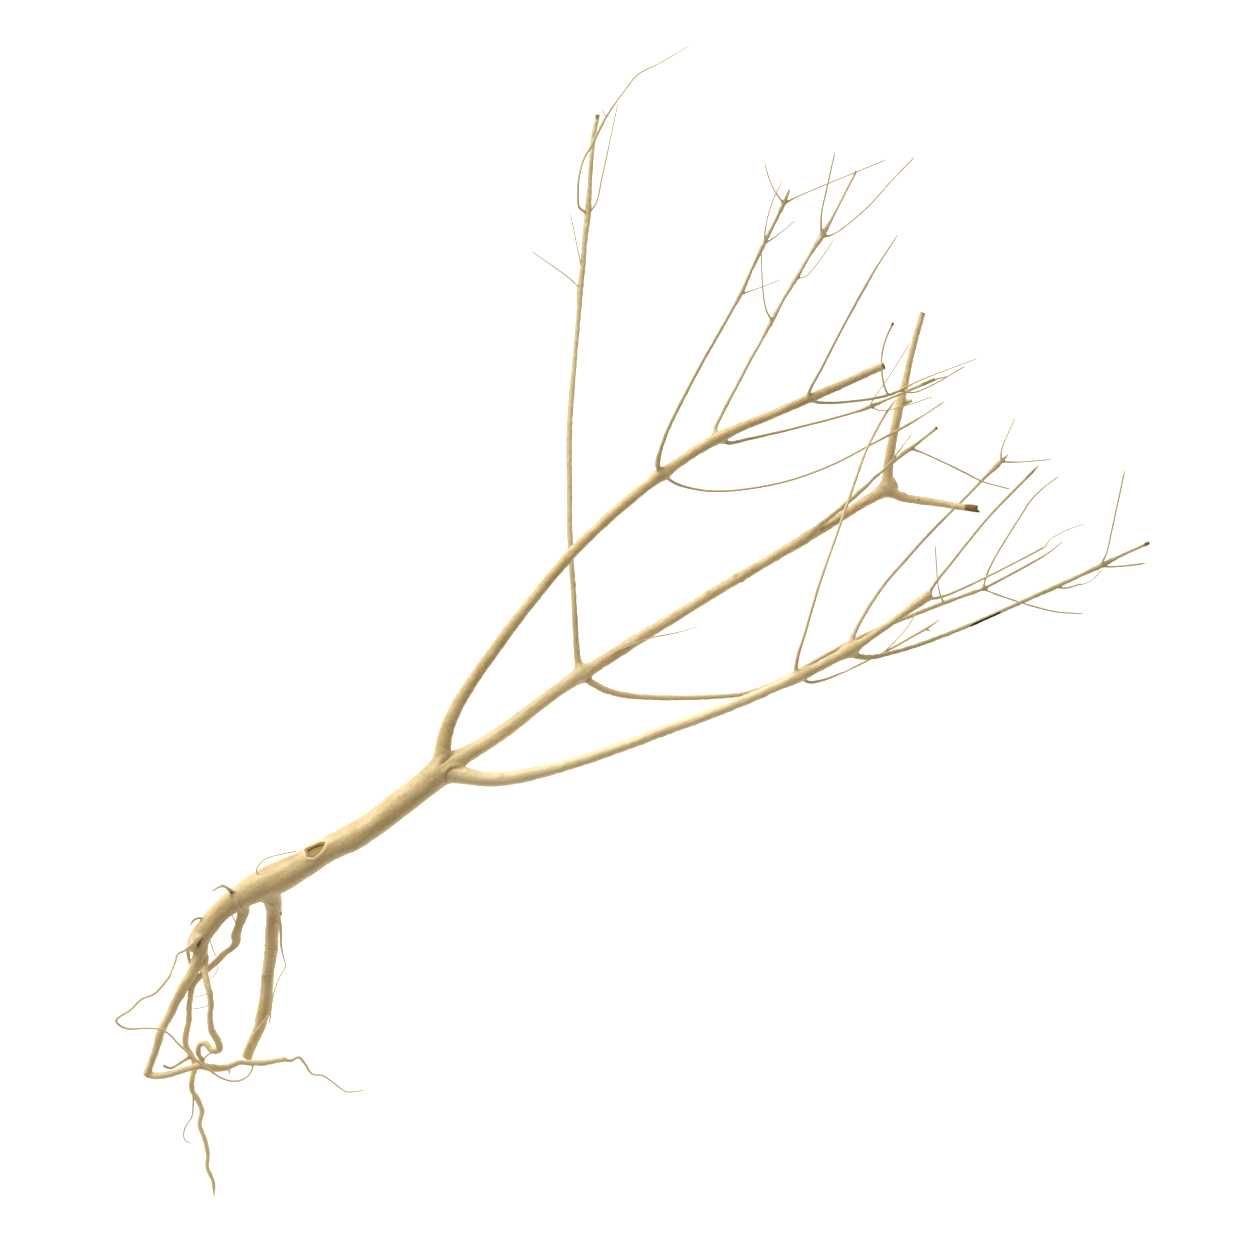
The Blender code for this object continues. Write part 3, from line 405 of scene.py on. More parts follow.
RIGHT_TWIGS = (
    Shoot("bridging_twig", "right_limb", (
        (82.5, -101.4, 52, 3.4), (84.7, -97.1, 54, 1.9), (88.5, -93.2, 55.5, 1.5),
        (95.4, -87.5, 57.5, 1.3), (113, -72.4, 59.5, 1.3), (122, -65.4, 59, 1.2),
        (131, -58.6, 57.5, 1.2), (139, -52.3, 56, 1.4), (155.2, -39.7, 51, 1.3),
        (161.5, -35.2, 49, 1.1), (167.8, -31.6, 45, 1.2), (175.8, -27.4, 39, 1.2), (184, -24.2, 33, 1.0),
    ), tone=0.9),
    Shoot("low_twig", "right_limb", (
        (83, -102, 52, 2.4), (85.5, -106, 50.5, 1.5), (91, -108.6, 48, 1.2),
        (100, -110.4, 44.5, 1.0), (120, -113, 37, 1.0), (138, -114.2, 32.5, 1.2),
        (141, -114.3, 32, 1.2), (147.3, -114.2, 31, 0.5),
    ), tip=Tip.BROKEN, tone=0.7),
    Shoot("low_twig_hair", "low_twig", (
        (119.5, -112.9, 37, 0.9), (127, -111.4, 37.5, 0.5), (134, -109.3, 38.5, 0.5),
        (141, -106, 40, 0.5),
    )),
    Shoot("diving_twig", "right_limb", (
        (107.5, -103.8, 50, 3.6), (112, -100, 48.5, 2.2), (117, -96.9, 46.5, 1.7),
        (126, -92.4, 42.5, 1.6), (137, -88.1, 37.5, 1.4), (150, -84.5, 31.5, 1.4),
        (163, -81, 27, 1.3), (188, -75.7, 22, 1.2), (198, -73.4, 20.5, 1.6),
        (207, -71.6, 19, 2.6), (211.7, -70.6, 18.5, 0.8),
    ), tone=0.0),
    Shoot("diving_hair_rise", "diving_twig", (
        (207, -71.5, 19, 1.2), (210, -67.5, 20, 0.7), (222.5, -59, 22, 0.5),
    )),
    Shoot("diving_hair_fall", "diving_twig", (
        (207, -71.8, 19, 1.2), (213, -75.7, 17.5, 0.7), (226, -82.8, 14, 0.6),
    )),
    Shoot("end_twig_left", "right_limb", (
        (148.5, -102.8, 46, 2.2), (154, -100, 47, 1.4), (163, -97, 49, 1.2),
        (188, -88.8, 54, 1.1), (215.5, -82.4, 58, 1.2), (219, -81.6, 58.3, 0.5),
    ), tip=Tip.CUT),
    Shoot("end_twig_right", "right_limb", (
        (145.5, -103.2, 46, 2.0), (154, -106.5, 44, 1.2), (165, -108.6, 42, 1.1),
        (190, -111.5, 38, 0.9), (203.5, -112.6, 36, 1.0),
    ), tone=0.6),
    Shoot("trailing_twig", "right_limb", (
        (106.5, -103.8, 50, 4.4), (109.5, -108.5, 47.5, 2.8), (114.5, -112, 44.5, 2.2),
        (122, -114.8, 41, 2.0), (133, -118.1, 37, 1.8), (158, -123.5, 28.5, 1.8),
        (184, -127.6, 19.5, 1.8), (198, -129.9, 14.5, 2.2), (208, -131.3, 11, 1.7),
        (219, -132.9, 7, 2.4), (230, -134.2, 4, 1.4), (242, -136, 0.85, 1.6),
    ), tip=Tip.CUT, tone=0.3),
    Shoot("trailing_rise", "trailing_twig", (
        (218.5, -132.7, 7.2, 1.4), (224, -129.6, 8, 0.8), (231, -122.8, 9.5, 0.8),
        (250, -103.8, 12.5, 0.8),
    )),
    Shoot("trailing_fall", "trailing_twig", (
        (218.5, -133, 7.2, 1.3), (223, -136, 6, 0.9), (236, -142.7, 1.5, 0.9),
    )),
    Shoot("trailing_hair", "trailing_twig", (
        (197.5, -129.9, 14.5, 1.2), (200.5, -132.5, 13.5, 0.8), (207, -134.7, 11.5, 0.8),
        (208.8, -135.8, 11, 0.5),
    )),
)



SHOOTS = (AXIS,) + ROOTS + SIDE_LIMBS + STEM_TWIGS + LEFT_TWIGS + RIGHT_TWIGS

# The hairs and fibres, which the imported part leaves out.
STRANDS = (
    Shoot("stem_hair", "", (
        (-158.4, -46.6, 45.2, 0.5), (-157.6, -44.3, 45.6, 0.6), (-155, -43, 45.8, 0.6),
        (-152, -42.5, 46, 0.6), (-149, -43.2, 46, 0.6), (-144, -45, 46.2, 0.6),
        (-138, -47.4, 45.8, 0.5),
    ), tone=0.4),
    Shoot("collar_strand", "", (
        (-171.6, -47.4, 45.2, 0.8), (-171.8, -49.4, 45.4, 0.8), (-172.3, -51.4, 45.3, 0.8),
        (-172.6, -54, 43.8, 0.8), (-172, -56.4, 40.4, 0.6),
    ), tone=1.0),
    Shoot("second_tip", "", (
        (-172.4, -44, 46.2, 1.0), (-173.0, -42.4, 46.9, 0.8), (-173.9, -40.8, 47.1, 0.5),
    ), tone=0.5),
    Shoot("crown_hair_one", "", (
        (-191.2, -58.8, 34, 0.5), (-192.4, -63.4, 33, 0.5), (-192.8, -66.8, 31.5, 0.5),
    ), tone=0.6),
    Shoot("crown_hair_two", "", (
        (-177.4, -54.8, 37.5, 0.5), (-177.5, -56.8, 36, 0.5), (-177.9, -59.4, 34.8, 0.5),
    ), tone=0.6),
    Shoot("crown_hair_three", "", (
        (-194.4, -70.2, 30.5, 0.5), (-196.8, -72.1, 33.5, 0.5), (-200.6, -73.2, 35.6, 0.5),
    ), tone=0.6),
    Shoot("crown_hair_six", "", (
        (-195, -61, 36.4, 0.5), (-198.2, -64, 35.4, 0.5), (-202.3, -68.2, 32.6, 0.5),
    ), tone=1.2),
    Shoot("root_ring_one", "", (
        (-174.4, -75.7, 24, 0.4), (-173, -76.4, 26, 0.45), (-171.6, -77.1, 26.6, 0.45),
        (-170, -77.8, 26.2, 0.45), (-168.6, -78.4, 24.4, 0.4),
    ), tone=1.4),
    Shoot("root_ring_two", "", (
        (-181.4, -83.6, 19.6, 0.4), (-180.4, -84, 21, 0.45), (-179.2, -84.5, 21.5, 0.45),
        (-178, -85.2, 21.6, 0.4),
    ), tone=1.4),
    Shoot("root_fibre", "", (
        (-162.6, -68.7, 36.2, 0.4), (-165.2, -69.2, 32.6, 0.4), (-168.7, -72.4, 30, 0.4),
    ), tone=1.2),
    Shoot("creeping_spur", "", (
        (-214.4, -109.2, 14.8, 0.9), (-215.8, -111.2, 14.6, 0.7), (-216.6, -112.6, 14.2, 0.4),
    ), tone=0.8),
    Shoot("crown_hair_four", "", (
        (-203.2, -76.4, 35, 0.5), (-206, -77.4, 31, 0.5), (-210.4, -75.6, 25, 0.5),
    ), tone=0.6),
    Shoot("crown_hair_five", "", (
        (-205.4, -81.2, 33.5, 0.5), (-208.5, -81.8, 28, 0.5), (-214.6, -79.6, 22, 0.5),
    ), tone=0.6),
    Shoot("coil_strand", "", (
        (-224.8, -100.2, 11.5, 0.7), (-221.8, -100.4, 18.2, 0.8), (-218.4, -99.8, 23.4, 0.7),
        (-214.6, -100.6, 26.6, 0.6),
    ), tone=1.0),
    Shoot("middle_fibre", "", (
        (19.5, -49.8, 42.2, 0.5), (30, -51, 41.3, 0.7), (40, -53.5, 39.6, 0.7), (50, -57.5, 39.2, 0.5),
        (59.5, -60.2, 38.8, 0.3),
    ), tone=0.4),
    Shoot("crossing_tip", "", (
        (200.5, -26.1, 35.2, 1.0), (204, -27, 34.8, 0.8), (207.6, -28.2, 34.4, 0.4),
    ), tone=-0.4),
    Shoot("end_fibre", "", (
        (202.8, -112.5, 36.1, 0.7), (206, -111.2, 36, 0.6), (214, -111.6, 35, 0.5),
        (222.5, -113.7, 33.5, 0.4),
    ), tone=0.8),
    Shoot("long_hair_two", "", (
        (100.8, 96.8, 12.8, 0.8), (103.5, 104, 14, 0.6), (106.5, 111.5, 15, 0.5),
        (109.5, 119.5, 16, 0.5),
    ), tone=0.0),
    Shoot("loop_hair", "", (
        (145, 145.8, 8.6, 0.5), (145.8, 150.2, 9.4, 0.4),
    ), tone=0.0),
    Shoot("trailing_hair_end", "", (
        (208.2, -135.4, 11.1, 0.5), (211.5, -136, 10, 0.5), (215, -135.5, 8.8, 0.5),
        (219, -134.2, 7.4, 0.5),
    ), tone=0.3),
    Shoot("low_fork", "", (
        (139.8, -114.2, 32.2, 1.0), (141, -115.4, 31.8, 0.8), (142, -116.6, 31.4, 0.6),
    ), tone=0.2),
    Shoot("root_strand_one", "", (
        (-184.5, -96, 17.2, 0.5), (-187.5, -100.4, 13.4, 0.6), (-190.5, -103.4, 9.5, 0.5),
    ), tone=1.0),
    Shoot("root_strand_two", "", (
        (-175.8, -79.8, 23.4, 0.4), (-173.2, -79.4, 25, 0.4), (-170.4, -80.2, 25.4, 0.4),
    ), tone=1.0),
)

FEATURES = (
    # The burnt streak and the broken ends.
    Feature(("trailing_twig",), ((158, -124.6), (163, -125.3), (170.5, -126.5)), 1.5, mark=Mark.CHAR),
    Feature(("down_branch",), ((184.6, -80.8), (187.6, -83.6)), 3.2, mark=Mark.BROWN),
    Feature(("left_limb",), ((187.2, -9.5), (187.8, -9.6)), 2.2, mark=Mark.BROWN),
    Feature(("up_branch",), ((214.0, 1.0), (214.4, 1.4)), 1.8, mark=Mark.BROWN, strength=0.8),
    Feature(("side_twig",), ((191.5, -44.3), (192.5, -44.2)), 1.5, mark=Mark.BROWN),
    Feature(("crossing_twig",), ((197, -25.4), (203, -26.5)), 1.9, mark=Mark.BROWN, strength=0.55),
    Feature(("last_twig_rise",), ((199.6, 3.5), (201, 4.2)), 1.4, mark=Mark.BROWN),
    Feature(("spread_twig",), ((222, 67.0), (223.5, 67.8)), 1.2, mark=Mark.BROWN, strength=0.7),
    Feature(("end_twig_left",), ((212, -83.3), (216, -82.3)), 1.6, mark=Mark.BROWN, strength=0.5),
    Feature(("trailing_twig",), ((241, -135.8), (243, -136.2)), 1.8, mark=Mark.BROWN),
    Feature(("long_twig",), ((142, 148.2), (143.4, 149.6)), 1.5, mark=Mark.BROWN, strength=0.7),
    Feature(("forked_rootlet", "axis"), ((-171.7, -47.2), (-171.9, -46.6)), 0.9, mark=Mark.BROWN, strength=0.8),
    # The creases and the pale ridge of the first fork; the brown along the creases is painted shade.
    Feature(("axis", "left_limb"), ((-66.4, -49.6), (-62.8, -49.2), (-59.2, -48.3)), 1.1, -0.28, facing=0.3),
    # painted shade: brown along the crease between the stem and the left limb
    Feature(("axis", "left_limb"), ((-65.4, -49.4), (-59.6, -48.5)), 1.1, mark=Mark.BROWN, strength=0.5),
    Feature(("axis", "left_limb"), ((-67.6, -48.4), (-64, -47.6), (-61.2, -46.2)), 2.0, 0.12, facing=0.2),
    Feature(("axis", "right_limb"), ((-68.6, -56), (-66.2, -54), (-63.4, -53.5), (-61.4, -54.6), (-59.6, -56.8)),
            1.0, -0.28, facing=0.2),
    # painted shade: brown along the crease between the stem and the right limb
    Feature(("axis", "right_limb"), ((-68.2, -55.8), (-66.1, -54), (-63.4, -53.5), (-61.5, -54.6)),
            0.8, mark=Mark.BROWN, strength=0.45, facing=0.2),
    Feature(("axis", "right_limb"), ((-67.2, -52.8), (-63.4, -52.2), (-60.6, -53.4), (-58.8, -55.6)),
            1.3, 0.2, mark=Mark.PALE, strength=0.5, facing=0.2),
    # Swellings and scars of the stem and the limbs.
    Feature(("axis",), ((-118, -60.4), (-112.6, -61.2)), 3.6, 0.4),
    Feature(("axis",), ((-125.5, -50.4), (-113, -50.2)), 1.0, -0.22, facing=0.2),
    Feature(("axis",), ((-121, -52.6), (-104, -52.0)), 1.1, -0.15, facing=0.2),
    Feature(("axis",), ((-158, -52.5), (-141, -51.2)), 1.3, -0.22, facing=0.2),
    Feature(("axis",), ((-154, -49.2), (-144, -48.2)), 1.1, -0.15, facing=0.2),
    Feature(("thick_root",), ((-168.7, -76.4),), 1.0, 0.5, mark=Mark.BROWN, strength=0.5),
    Feature(("thick_root",), ((-159.2, -66),), 1.2, 0.2, mark=Mark.BROWN, strength=0.8),
    Feature(("creeping_root",), ((-193.1, -119.4),), 1.5, 0.5),
    Feature(("creeping_root",), ((-197.6, -117.6),), 1.3, 0.35),
    # The dark hollow in the crown, below the looping root: a groove, with painted shade in brown along it.
    Feature(("axis", "taproot", "looping_root"), ((-193.6, -56.9), (-197, -58.4)), 1.1, -0.9, facing=0.1),
    Feature(("axis", "taproot", "looping_root"), ((-193.4, -56.7), (-195.2, -57.4)), 0.7, mark=Mark.BROWN,
            strength=0.8, facing=0.1),
    Feature(("axis", "taproot", "looping_root"), ((-195.2, -57.4), (-196.7, -58.2)), 1.2, mark=Mark.BROWN,
            strength=0.8, facing=0.1),
    # The pale callus round the wound, and its dark edge, which is painted shade in brown.
    Feature(("axis",), ((-136.3, -48), (-137.1, -51.9), (-134.5, -54), (-130.8, -53.9), (-127, -52.6),
                        (-125.3, -50.6), (-128.4, -48.7), (-131.8, -48), (-136.3, -48)),
            1.35, 0.42, mark=Mark.PALE, strength=0.7),
    # painted shade: brown along the inner edge of the callus
    Feature(("axis",), ((-135.4, -48.7), (-136, -51.5), (-134.1, -52.9), (-131, -52.8), (-127.8, -51.6),
                        (-126.6, -50.6), (-128.6, -49.7), (-132, -49.1), (-135.4, -48.7)),
            0.5, mark=Mark.BROWN, strength=0.8),
    Feature(("left_limb",), ((79, 5.6),), 4.2, 0.7),
    Feature(("axis", "long_twig", "bridging_twig"), ((6, -49.6),), 5.0, 0.9),
    Feature(("axis",), ((84, -50),), 1.5, 0.6),
    Feature(("axis",), ((85.4, -54),), 1.5, 0.6),
    Feature(("axis",), ((70, -49.6),), 1.3, 0.4),
    Feature(("axis",), ((121, -52.2),), 1.6, 0.6, mark=Mark.PALE, strength=0.5),
    Feature(("right_limb",), ((83, -101.6),), 3.4, 0.4),
    Feature(("right_limb",), ((107, -104),), 3.6, 0.5),
    Feature(("right_limb",), ((149, -102.4),), 2.2, 0.5, mark=Mark.BROWN, strength=0.35),
    Feature(("axis",), ((163.2, -53.2),), 1.6, 0.7),
    Feature(("axis", "down_branch"), ((164.4, -60.4),), 1.5, 0.5),
    Feature(("down_branch",), ((168, -66),), 0.9, mark=Mark.BROWN, strength=0.8),
    # painted shade: a little brown in the groove where the side twig leaves the stem
    Feature(("axis", "side_twig"), ((125, -53.2), (137, -52.2)), 0.9, -0.25, mark=Mark.BROWN, strength=0.3),
    Feature(("right_limb",), ((-47, -67.6),), 1.4, 0.25, mark=Mark.WOUND, strength=0.35),
    Feature(("left_limb",), ((-43, -32.6),), 1.2, 0.3, mark=Mark.WOUND, strength=0.3),
    Feature(("axis",), ((-27, -48.9),), 1.4, 0.35, mark=Mark.WOUND, strength=0.3),
    Feature(("right_limb",), ((-58, -58), (-47, -67), (-20, -75), (10, -82), (45, -90), (75, -97)), 14.0,
            mark=Mark.PALE, strength=0.85),
    Feature(("axis",), ((-54, -52.2), (2, -50)), 7.0, mark=Mark.PALE, strength=0.42),
    Feature(("axis",), ((8, -50.2), (60, -51.3), (110, -53)), 6.0, mark=Mark.PALE, strength=0.18),
    Feature(("axis",), ((-86, -52.6),), 0.8, -0.15, mark=Mark.WOUND, strength=0.5, facing=0.3),
)


# The dense centre lines ---------------------------------------------------------------------


class Route:
    """A shoot's centre line, with points set close enough to be drawn as smooth wood.

    Attributes:
        points: the centre line's points, in metres.
        radii: the wood's radius at each point, in metres.
        along: the length of wood up to each point, in metres.
        headings: the unit direction of growth at each point.
        sides: a unit direction across the wood at each point, carried along without twist.
        acrosses: the other direction across, at right angles to the first two.
    """

    def __init__(self, shoot: Shoot, parent: "Route | None") -> None:
        """Draw the centre line of a shoot, seated on the centre line of its parent."""
        path = np.array(shoot.path, float) * MM
        if parent is not None:
            path[0, :3] = parent.nearest(path[:1, :3])[2][0]
        line = self.smooth_line(path)
        self.points, self.radii = line[:, :3], line[:, 3] / 2.0
        steps = np.linalg.norm(np.diff(self.points, axis=0), axis=1)
        self.along = np.concatenate([[0.0], np.cumsum(steps)])
        if shoot.tip is Tip.FINE:
            left = (self.along[-1] - self.along) / np.maximum(self.radii * 5.0, 0.3 * MM)
            self.radii = self.radii * np.clip(0.3 + 0.7 * left, 0.3, 1.0)
        self.set_directions()

    @staticmethod
    def smooth_line(path: np.ndarray) -> np.ndarray:
        """Run a smooth curve through the points of a path.

        Args:
            path: rows of x, y, z and diameter.

        Returns:
            The same kind of rows, one for each ring of the drawn wood.
        """
        rows = [path[0]]
        for index in range(len(path) - 1):
            here, there = path[index], path[index + 1]
            before = path[index - 1] if index else 2.0 * here - there
            after = path[index + 2] if index + 2 < len(path) else 2.0 * there - here
            knots = [0.0]
            for near, far in ((before, here), (here, there), (there, after)):
                knots.append(knots[-1] + math.sqrt(float(np.linalg.norm((far - near)[:3]))))
            diameter = (here[3] + there[3]) / 2.0
            spacing = RING_SPACING + RING_SPACING_SHARE * diameter
            if diameter < HAIR_DIAMETER:
                spacing = HAIR_RING_SPACING
            count = max(1, math.ceil(float(np.linalg.norm((there - here)[:3])) / spacing))
            for share in np.linspace(0.0, 1.0, count + 1)[1:]:
                t = knots[1] + (knots[2] - knots[1]) * share
                row = Route.through(before, here, there, after, knots, t)
                row[3] = min(max(row[3], min(here[3], there[3]) * 0.95), max(here[3], there[3]) * 1.05)
                rows.append(row)
        return np.array(rows)

    @staticmethod
    def through(p0: np.ndarray, p1: np.ndarray, p2: np.ndarray, p3: np.ndarray, k: list, t: float) -> np.ndarray:
        """The point at t on the curve through four points with the knots k."""
        a1 = ((k[1] - t) * p0 + (t - k[0]) * p1) / (k[1] - k[0])
        a2 = ((k[2] - t) * p1 + (t - k[1]) * p2) / (k[2] - k[1])
        a3 = ((k[3] - t) * p2 + (t - k[2]) * p3) / (k[3] - k[2])
        b1 = ((k[2] - t) * a1 + (t - k[0]) * a2) / (k[2] - k[0])
        b2 = ((k[3] - t) * a2 + (t - k[1]) * a3) / (k[3] - k[1])
        return ((k[2] - t) * b1 + (t - k[1]) * b2) / (k[2] - k[1])

    def set_directions(self) -> None:
        """Carry two directions across the wood from one end to the other, without twist."""
        ahead = np.gradient(self.points, axis=0)
        self.headings = ahead / np.linalg.norm(ahead, axis=1)[:, None]
        side = np.array(Vector(self.headings[0]).orthogonal().normalized())
        sides = []
        for heading in self.headings:
            side = side - heading * side.dot(heading)
            side = side / np.linalg.norm(side)
            sides.append(side)
        self.sides = np.array(sides)
        self.acrosses = np.cross(self.headings, self.sides)

    def nearest(self, places: np.ndarray) -> tuple:
        """Find the nearest spots of the centre line.

        Args:
            places: rows of x, y, z.

        Returns:
            For each place, the index of the stretch, the share along it, and the spot.
        """
        starts, runs = self.points[:-1], np.diff(self.points, axis=0)
        lengths = np.maximum((runs**2).sum(1), 1e-18)
        indexes, shares = [], []
        for block in np.array_split(places, max(1, len(places) // NEAREST_BLOCK)):
            share = np.einsum("psk,sk->ps", block[:, None] - starts[None], runs) / lengths
            share = np.clip(share, 0.0, 1.0)
            gap = block[:, None] - starts[None] - share[..., None] * runs[None]
            index = (gap**2).sum(2).argmin(1)
            indexes.append(index)
            shares.append(share[np.arange(len(block)), index])
        index, share = np.concatenate(indexes), np.concatenate(shares)
        return index, share, starts[index] + share[:, None] * runs[index]

    def depth(self, places: np.ndarray) -> tuple:
        """How far places are outside the wood, and the unit directions out of it."""
        index, share, spot = self.nearest(places)
        radius = self.radii[index] * (1.0 - share) + self.radii[index + 1] * share
        gap = places - spot
        reach = np.linalg.norm(gap, axis=1)
        return reach - radius, gap / np.maximum(reach, 1e-9)[:, None]

    def unbent(self, places: np.ndarray) -> tuple:
        """Places along the grain, as the length up the wood and two ways across, and the radii there."""
        index, share, spot = self.nearest(places)
        gap = places - spot
        length = self.along[index] * (1.0 - share) + self.along[index + 1] * share
        across = (gap * self.sides[index]).sum(1), (gap * self.acrosses[index]).sum(1)
        return np.column_stack([length, *across]), self.radii[index]


# The modelling of one shoot -----------------------------------------------------------------


def only(thing: bpy.types.Object) -> None:
    """Select one object and make it the active one."""
    bpy.ops.object.select_all(action="DESELECT")
    thing.select_set(True)
    bpy.context.view_layer.objects.active = thing


def read_places(mesh: bpy.types.Mesh) -> np.ndarray:
    """The places of a mesh's vertices, as rows of x, y, z."""
    flat = np.empty(len(mesh.vertices) * 3, np.float64)
    mesh.vertices.foreach_get("co", flat)
    return flat.reshape(-1, 3)


def write_places(mesh: bpy.types.Mesh, places: np.ndarray) -> None:
    """Put a mesh's vertices at new places."""
    mesh.vertices.foreach_set("co", places.astype(np.float32).ravel())
    mesh.update()


@dataclass(frozen=True)
class Relief:
    """The unevenness of grown wood, as shares of its radius, and how often each kind comes."""

    lobes: float = 0.045
    dents: float = 0.030
    ribs: float = 0.014
    wander: float = 0.10 * MM
    rib_radius: float = 1.8 * MM

    def swell(self, along: float, turn: tuple, radius: float, seed: float) -> float:
        """The factor on the radius at one place of the surface."""
        lobe = noise.noise((along / (radius * 9.0) + seed, turn[0] * 0.7, turn[1] * 0.7 + seed))
        dent = noise.noise((along / (radius * 2.6), turn[0] * 1.5 + seed, turn[1] * 1.5))
        factor = 1.0 + self.lobes * lobe + self.dents * dent
        if radius > self.rib_radius:
            rib = noise.noise((along / (radius * 6.0), turn[0] * 4.5, turn[1] * 4.5 + seed))
            factor += self.ribs * rib
        return factor


@dataclass
class ShootMaker:
    """Raises one shoot as a closed mesh, from its route."""

    relief: Relief = field(default_factory=Relief)

    def sides_for(self, route: Route) -> int:
        """How many sides the shoot's section has, from how thick it is past its base."""
        diameter = float(route.radii[len(route.radii) // 8:].max()) * 2.0
        for limit, sides in SIDES_BY_DIAMETER:
            if diameter >= limit:
                return sides
        return SIDES_BY_DIAMETER[-1][1]

    def make(self, shoot: Shoot, route: Route, number: int) -> bpy.types.Object:
        """Raise the shoot.

        Args:
            shoot: the shoot's facts.
            route: its centre line.
            number: the number that its faces carry, so that its grain is found again.

        Returns:
            The closed tube, uneven like wood and finished at its tip.
        """
        sides = self.sides_for(route)
        solid = self.raise_tube(shoot.name, route, sides)
        self.shape(solid.data, route, sides, number * 3.7, shoot)
        self.close(solid, route, sides, shoot.tip)
        mark = solid.data.attributes.new("shoot", "INT", "FACE")
        mark.data.foreach_set("value", np.full(len(solid.data.polygons), number, np.int32))
        return solid

    @staticmethod
    def raise_tube(name: str, route: Route, sides: int) -> bpy.types.Object:
        """Draw the route as a path with a round section, and turn it into a mesh."""
        bpy.ops.object.select_all(action="DESELECT")
        bpy.ops.curve.primitive_nurbs_path_add(location=(0.0, 0.0, 0.0))
        path = bpy.context.object
        path.name = name
        path.data.splines.clear()
        spline = path.data.splines.new("POLY")
        spline.points.add(len(route.points) - 1)
        ones = np.ones((len(route.points), 1))
        spline.points.foreach_set("co", np.hstack([route.points, ones]).ravel())
        spline.points.foreach_set("radius", route.radii / MM)
        path.data.bevel_depth = MM
        path.data.bevel_resolution = sides // 2 - 2
        path.data.twist_mode = "MINIMUM"
        bpy.ops.object.convert(target="MESH")
        solid = bpy.context.object
        solid.name = solid.data.name = name
        return solid

    def shape(self, mesh: bpy.types.Mesh, route: Route, sides: int, seed: float, shoot: Shoot) -> None:
        """Make the round section uneven, and let the centre line wander a little."""
        places = read_places(mesh).reshape(len(route.points), sides, 3)
        for ring, centre in enumerate(route.points):
            radius, along = route.radii[ring], route.along[ring]
            spread = places[ring] - centre
            turns = spread / max(radius, 1e-7)
            factors = []
            for turn in turns:
                local = (float(turn @ route.sides[ring]), float(turn @ route.acrosses[ring]))
                factors.append(self.relief.swell(along, local, radius, seed))
            free = min(1.0, along / (12.0 * MM)) * min(1.0, radius / (0.5 * MM))
            drift = Vector(noise.noise_vector((along / (11.0 * MM), seed, 0.5))) * self.relief.wander * free
            places[ring] = centre + np.array(drift) + spread * np.array(factors)[:, None]
        if shoot.tip is Tip.BROKEN:
            for corner in range(sides):
                jag = noise.noise((corner * 1.7, seed, 2.0)) * 1.5 * route.radii[-1]
                places[-1, corner] += route.headings[-1] * jag
        write_places(mesh, places.reshape(-1, 3))

    @staticmethod
    def close(solid: bpy.types.Object, route: Route, sides: int, tip: Tip) -> None:
        """Close both ends, and work the far one as it was cut or broken."""
        only(solid)
        radius = float(route.radii[-1])
        bpy.ops.object.mode_set(mode="EDIT")
        bpy.ops.mesh.select_all(action="SELECT")
        bpy.ops.mesh.fill_holes(sides=0)
        bpy.ops.mesh.select_all(action="SELECT")
        bpy.ops.mesh.normals_make_consistent(inside=False)
        bpy.ops.mesh.select_all(action="DESELECT")
        bpy.context.tool_settings.mesh_select_mode = (False, False, True)
        if tip in (Tip.CUT, Tip.BROKEN):
            edit = bmesh.from_edit_mesh(solid.data)
            end = Vector(route.points[-1])
            caps = [face for face in edit.faces if len(face.verts) == sides]
            cap = min(caps, key=lambda face: (face.calc_center_median() - end).length)
            cap.select_set(True)
            bmesh.update_edit_mesh(solid.data)
            rough = 0.35 if tip is Tip.BROKEN else 0.12
            bpy.ops.mesh.inset(thickness=radius * 0.10, depth=radius * 0.05)
            bpy.ops.mesh.inset(thickness=radius * 0.42, depth=-radius * rough)
            bpy.ops.mesh.inset(thickness=radius * 0.16, depth=-radius * 0.30)
        bpy.ops.object.mode_set(mode="OBJECT")


# The joining of the shoots ------------------------------------------------------------------


def join_solids(solids: list) -> bpy.types.Object:
    """Join closed meshes into one, two by two, so that no step works on more than it must."""
    while len(solids) > 1:
        pairs = [solids[index:index + 2] for index in range(0, len(solids), 2)]
        solids = []
        for pair in pairs:
            if len(pair) == 2:
                only(pair[0])
                step = pair[0].modifiers.new("join", "BOOLEAN")
                step.operation, step.solver, step.object = "UNION", "MANIFOLD", pair[1]
                bpy.ops.object.modifier_apply(modifier=step.name)
                bpy.data.objects.remove(pair[1], do_unlink=True)
            solids.append(pair[0])
    return solids[0]


class Edges:
    """The edges of a mesh, for evening values out over its surface."""

    def __init__(self, mesh: bpy.types.Mesh) -> None:
        """Read the edges."""
        flat = np.empty(len(mesh.edges) * 2, np.int32)
        mesh.edges.foreach_get("vertices", flat)
        self.ends = flat.reshape(-1, 2)
        self.count = np.maximum(np.bincount(flat, minlength=len(mesh.vertices)), 1)

    def mean(self, values: np.ndarray) -> np.ndarray:
        """The mean of each vertex's neighbours."""
        near, far = self.ends[:, 0], self.ends[:, 1]
        rows = values.reshape(len(values), -1)
        total = np.column_stack([
            np.bincount(near, row[far], len(values)) + np.bincount(far, row[near], len(values))
            for row in rows.T
        ])
        return (total / self.count[:, None]).reshape(values.shape)

    def even(self, values: np.ndarray, weights: np.ndarray, rounds: int) -> np.ndarray:
        """Move values towards their neighbours' mean, where the weights are above 0."""
        share = weights if values.ndim == 1 else weights[:, None]
        for _ in range(rounds):
            values = values + (self.mean(values) - values) * share
        return values


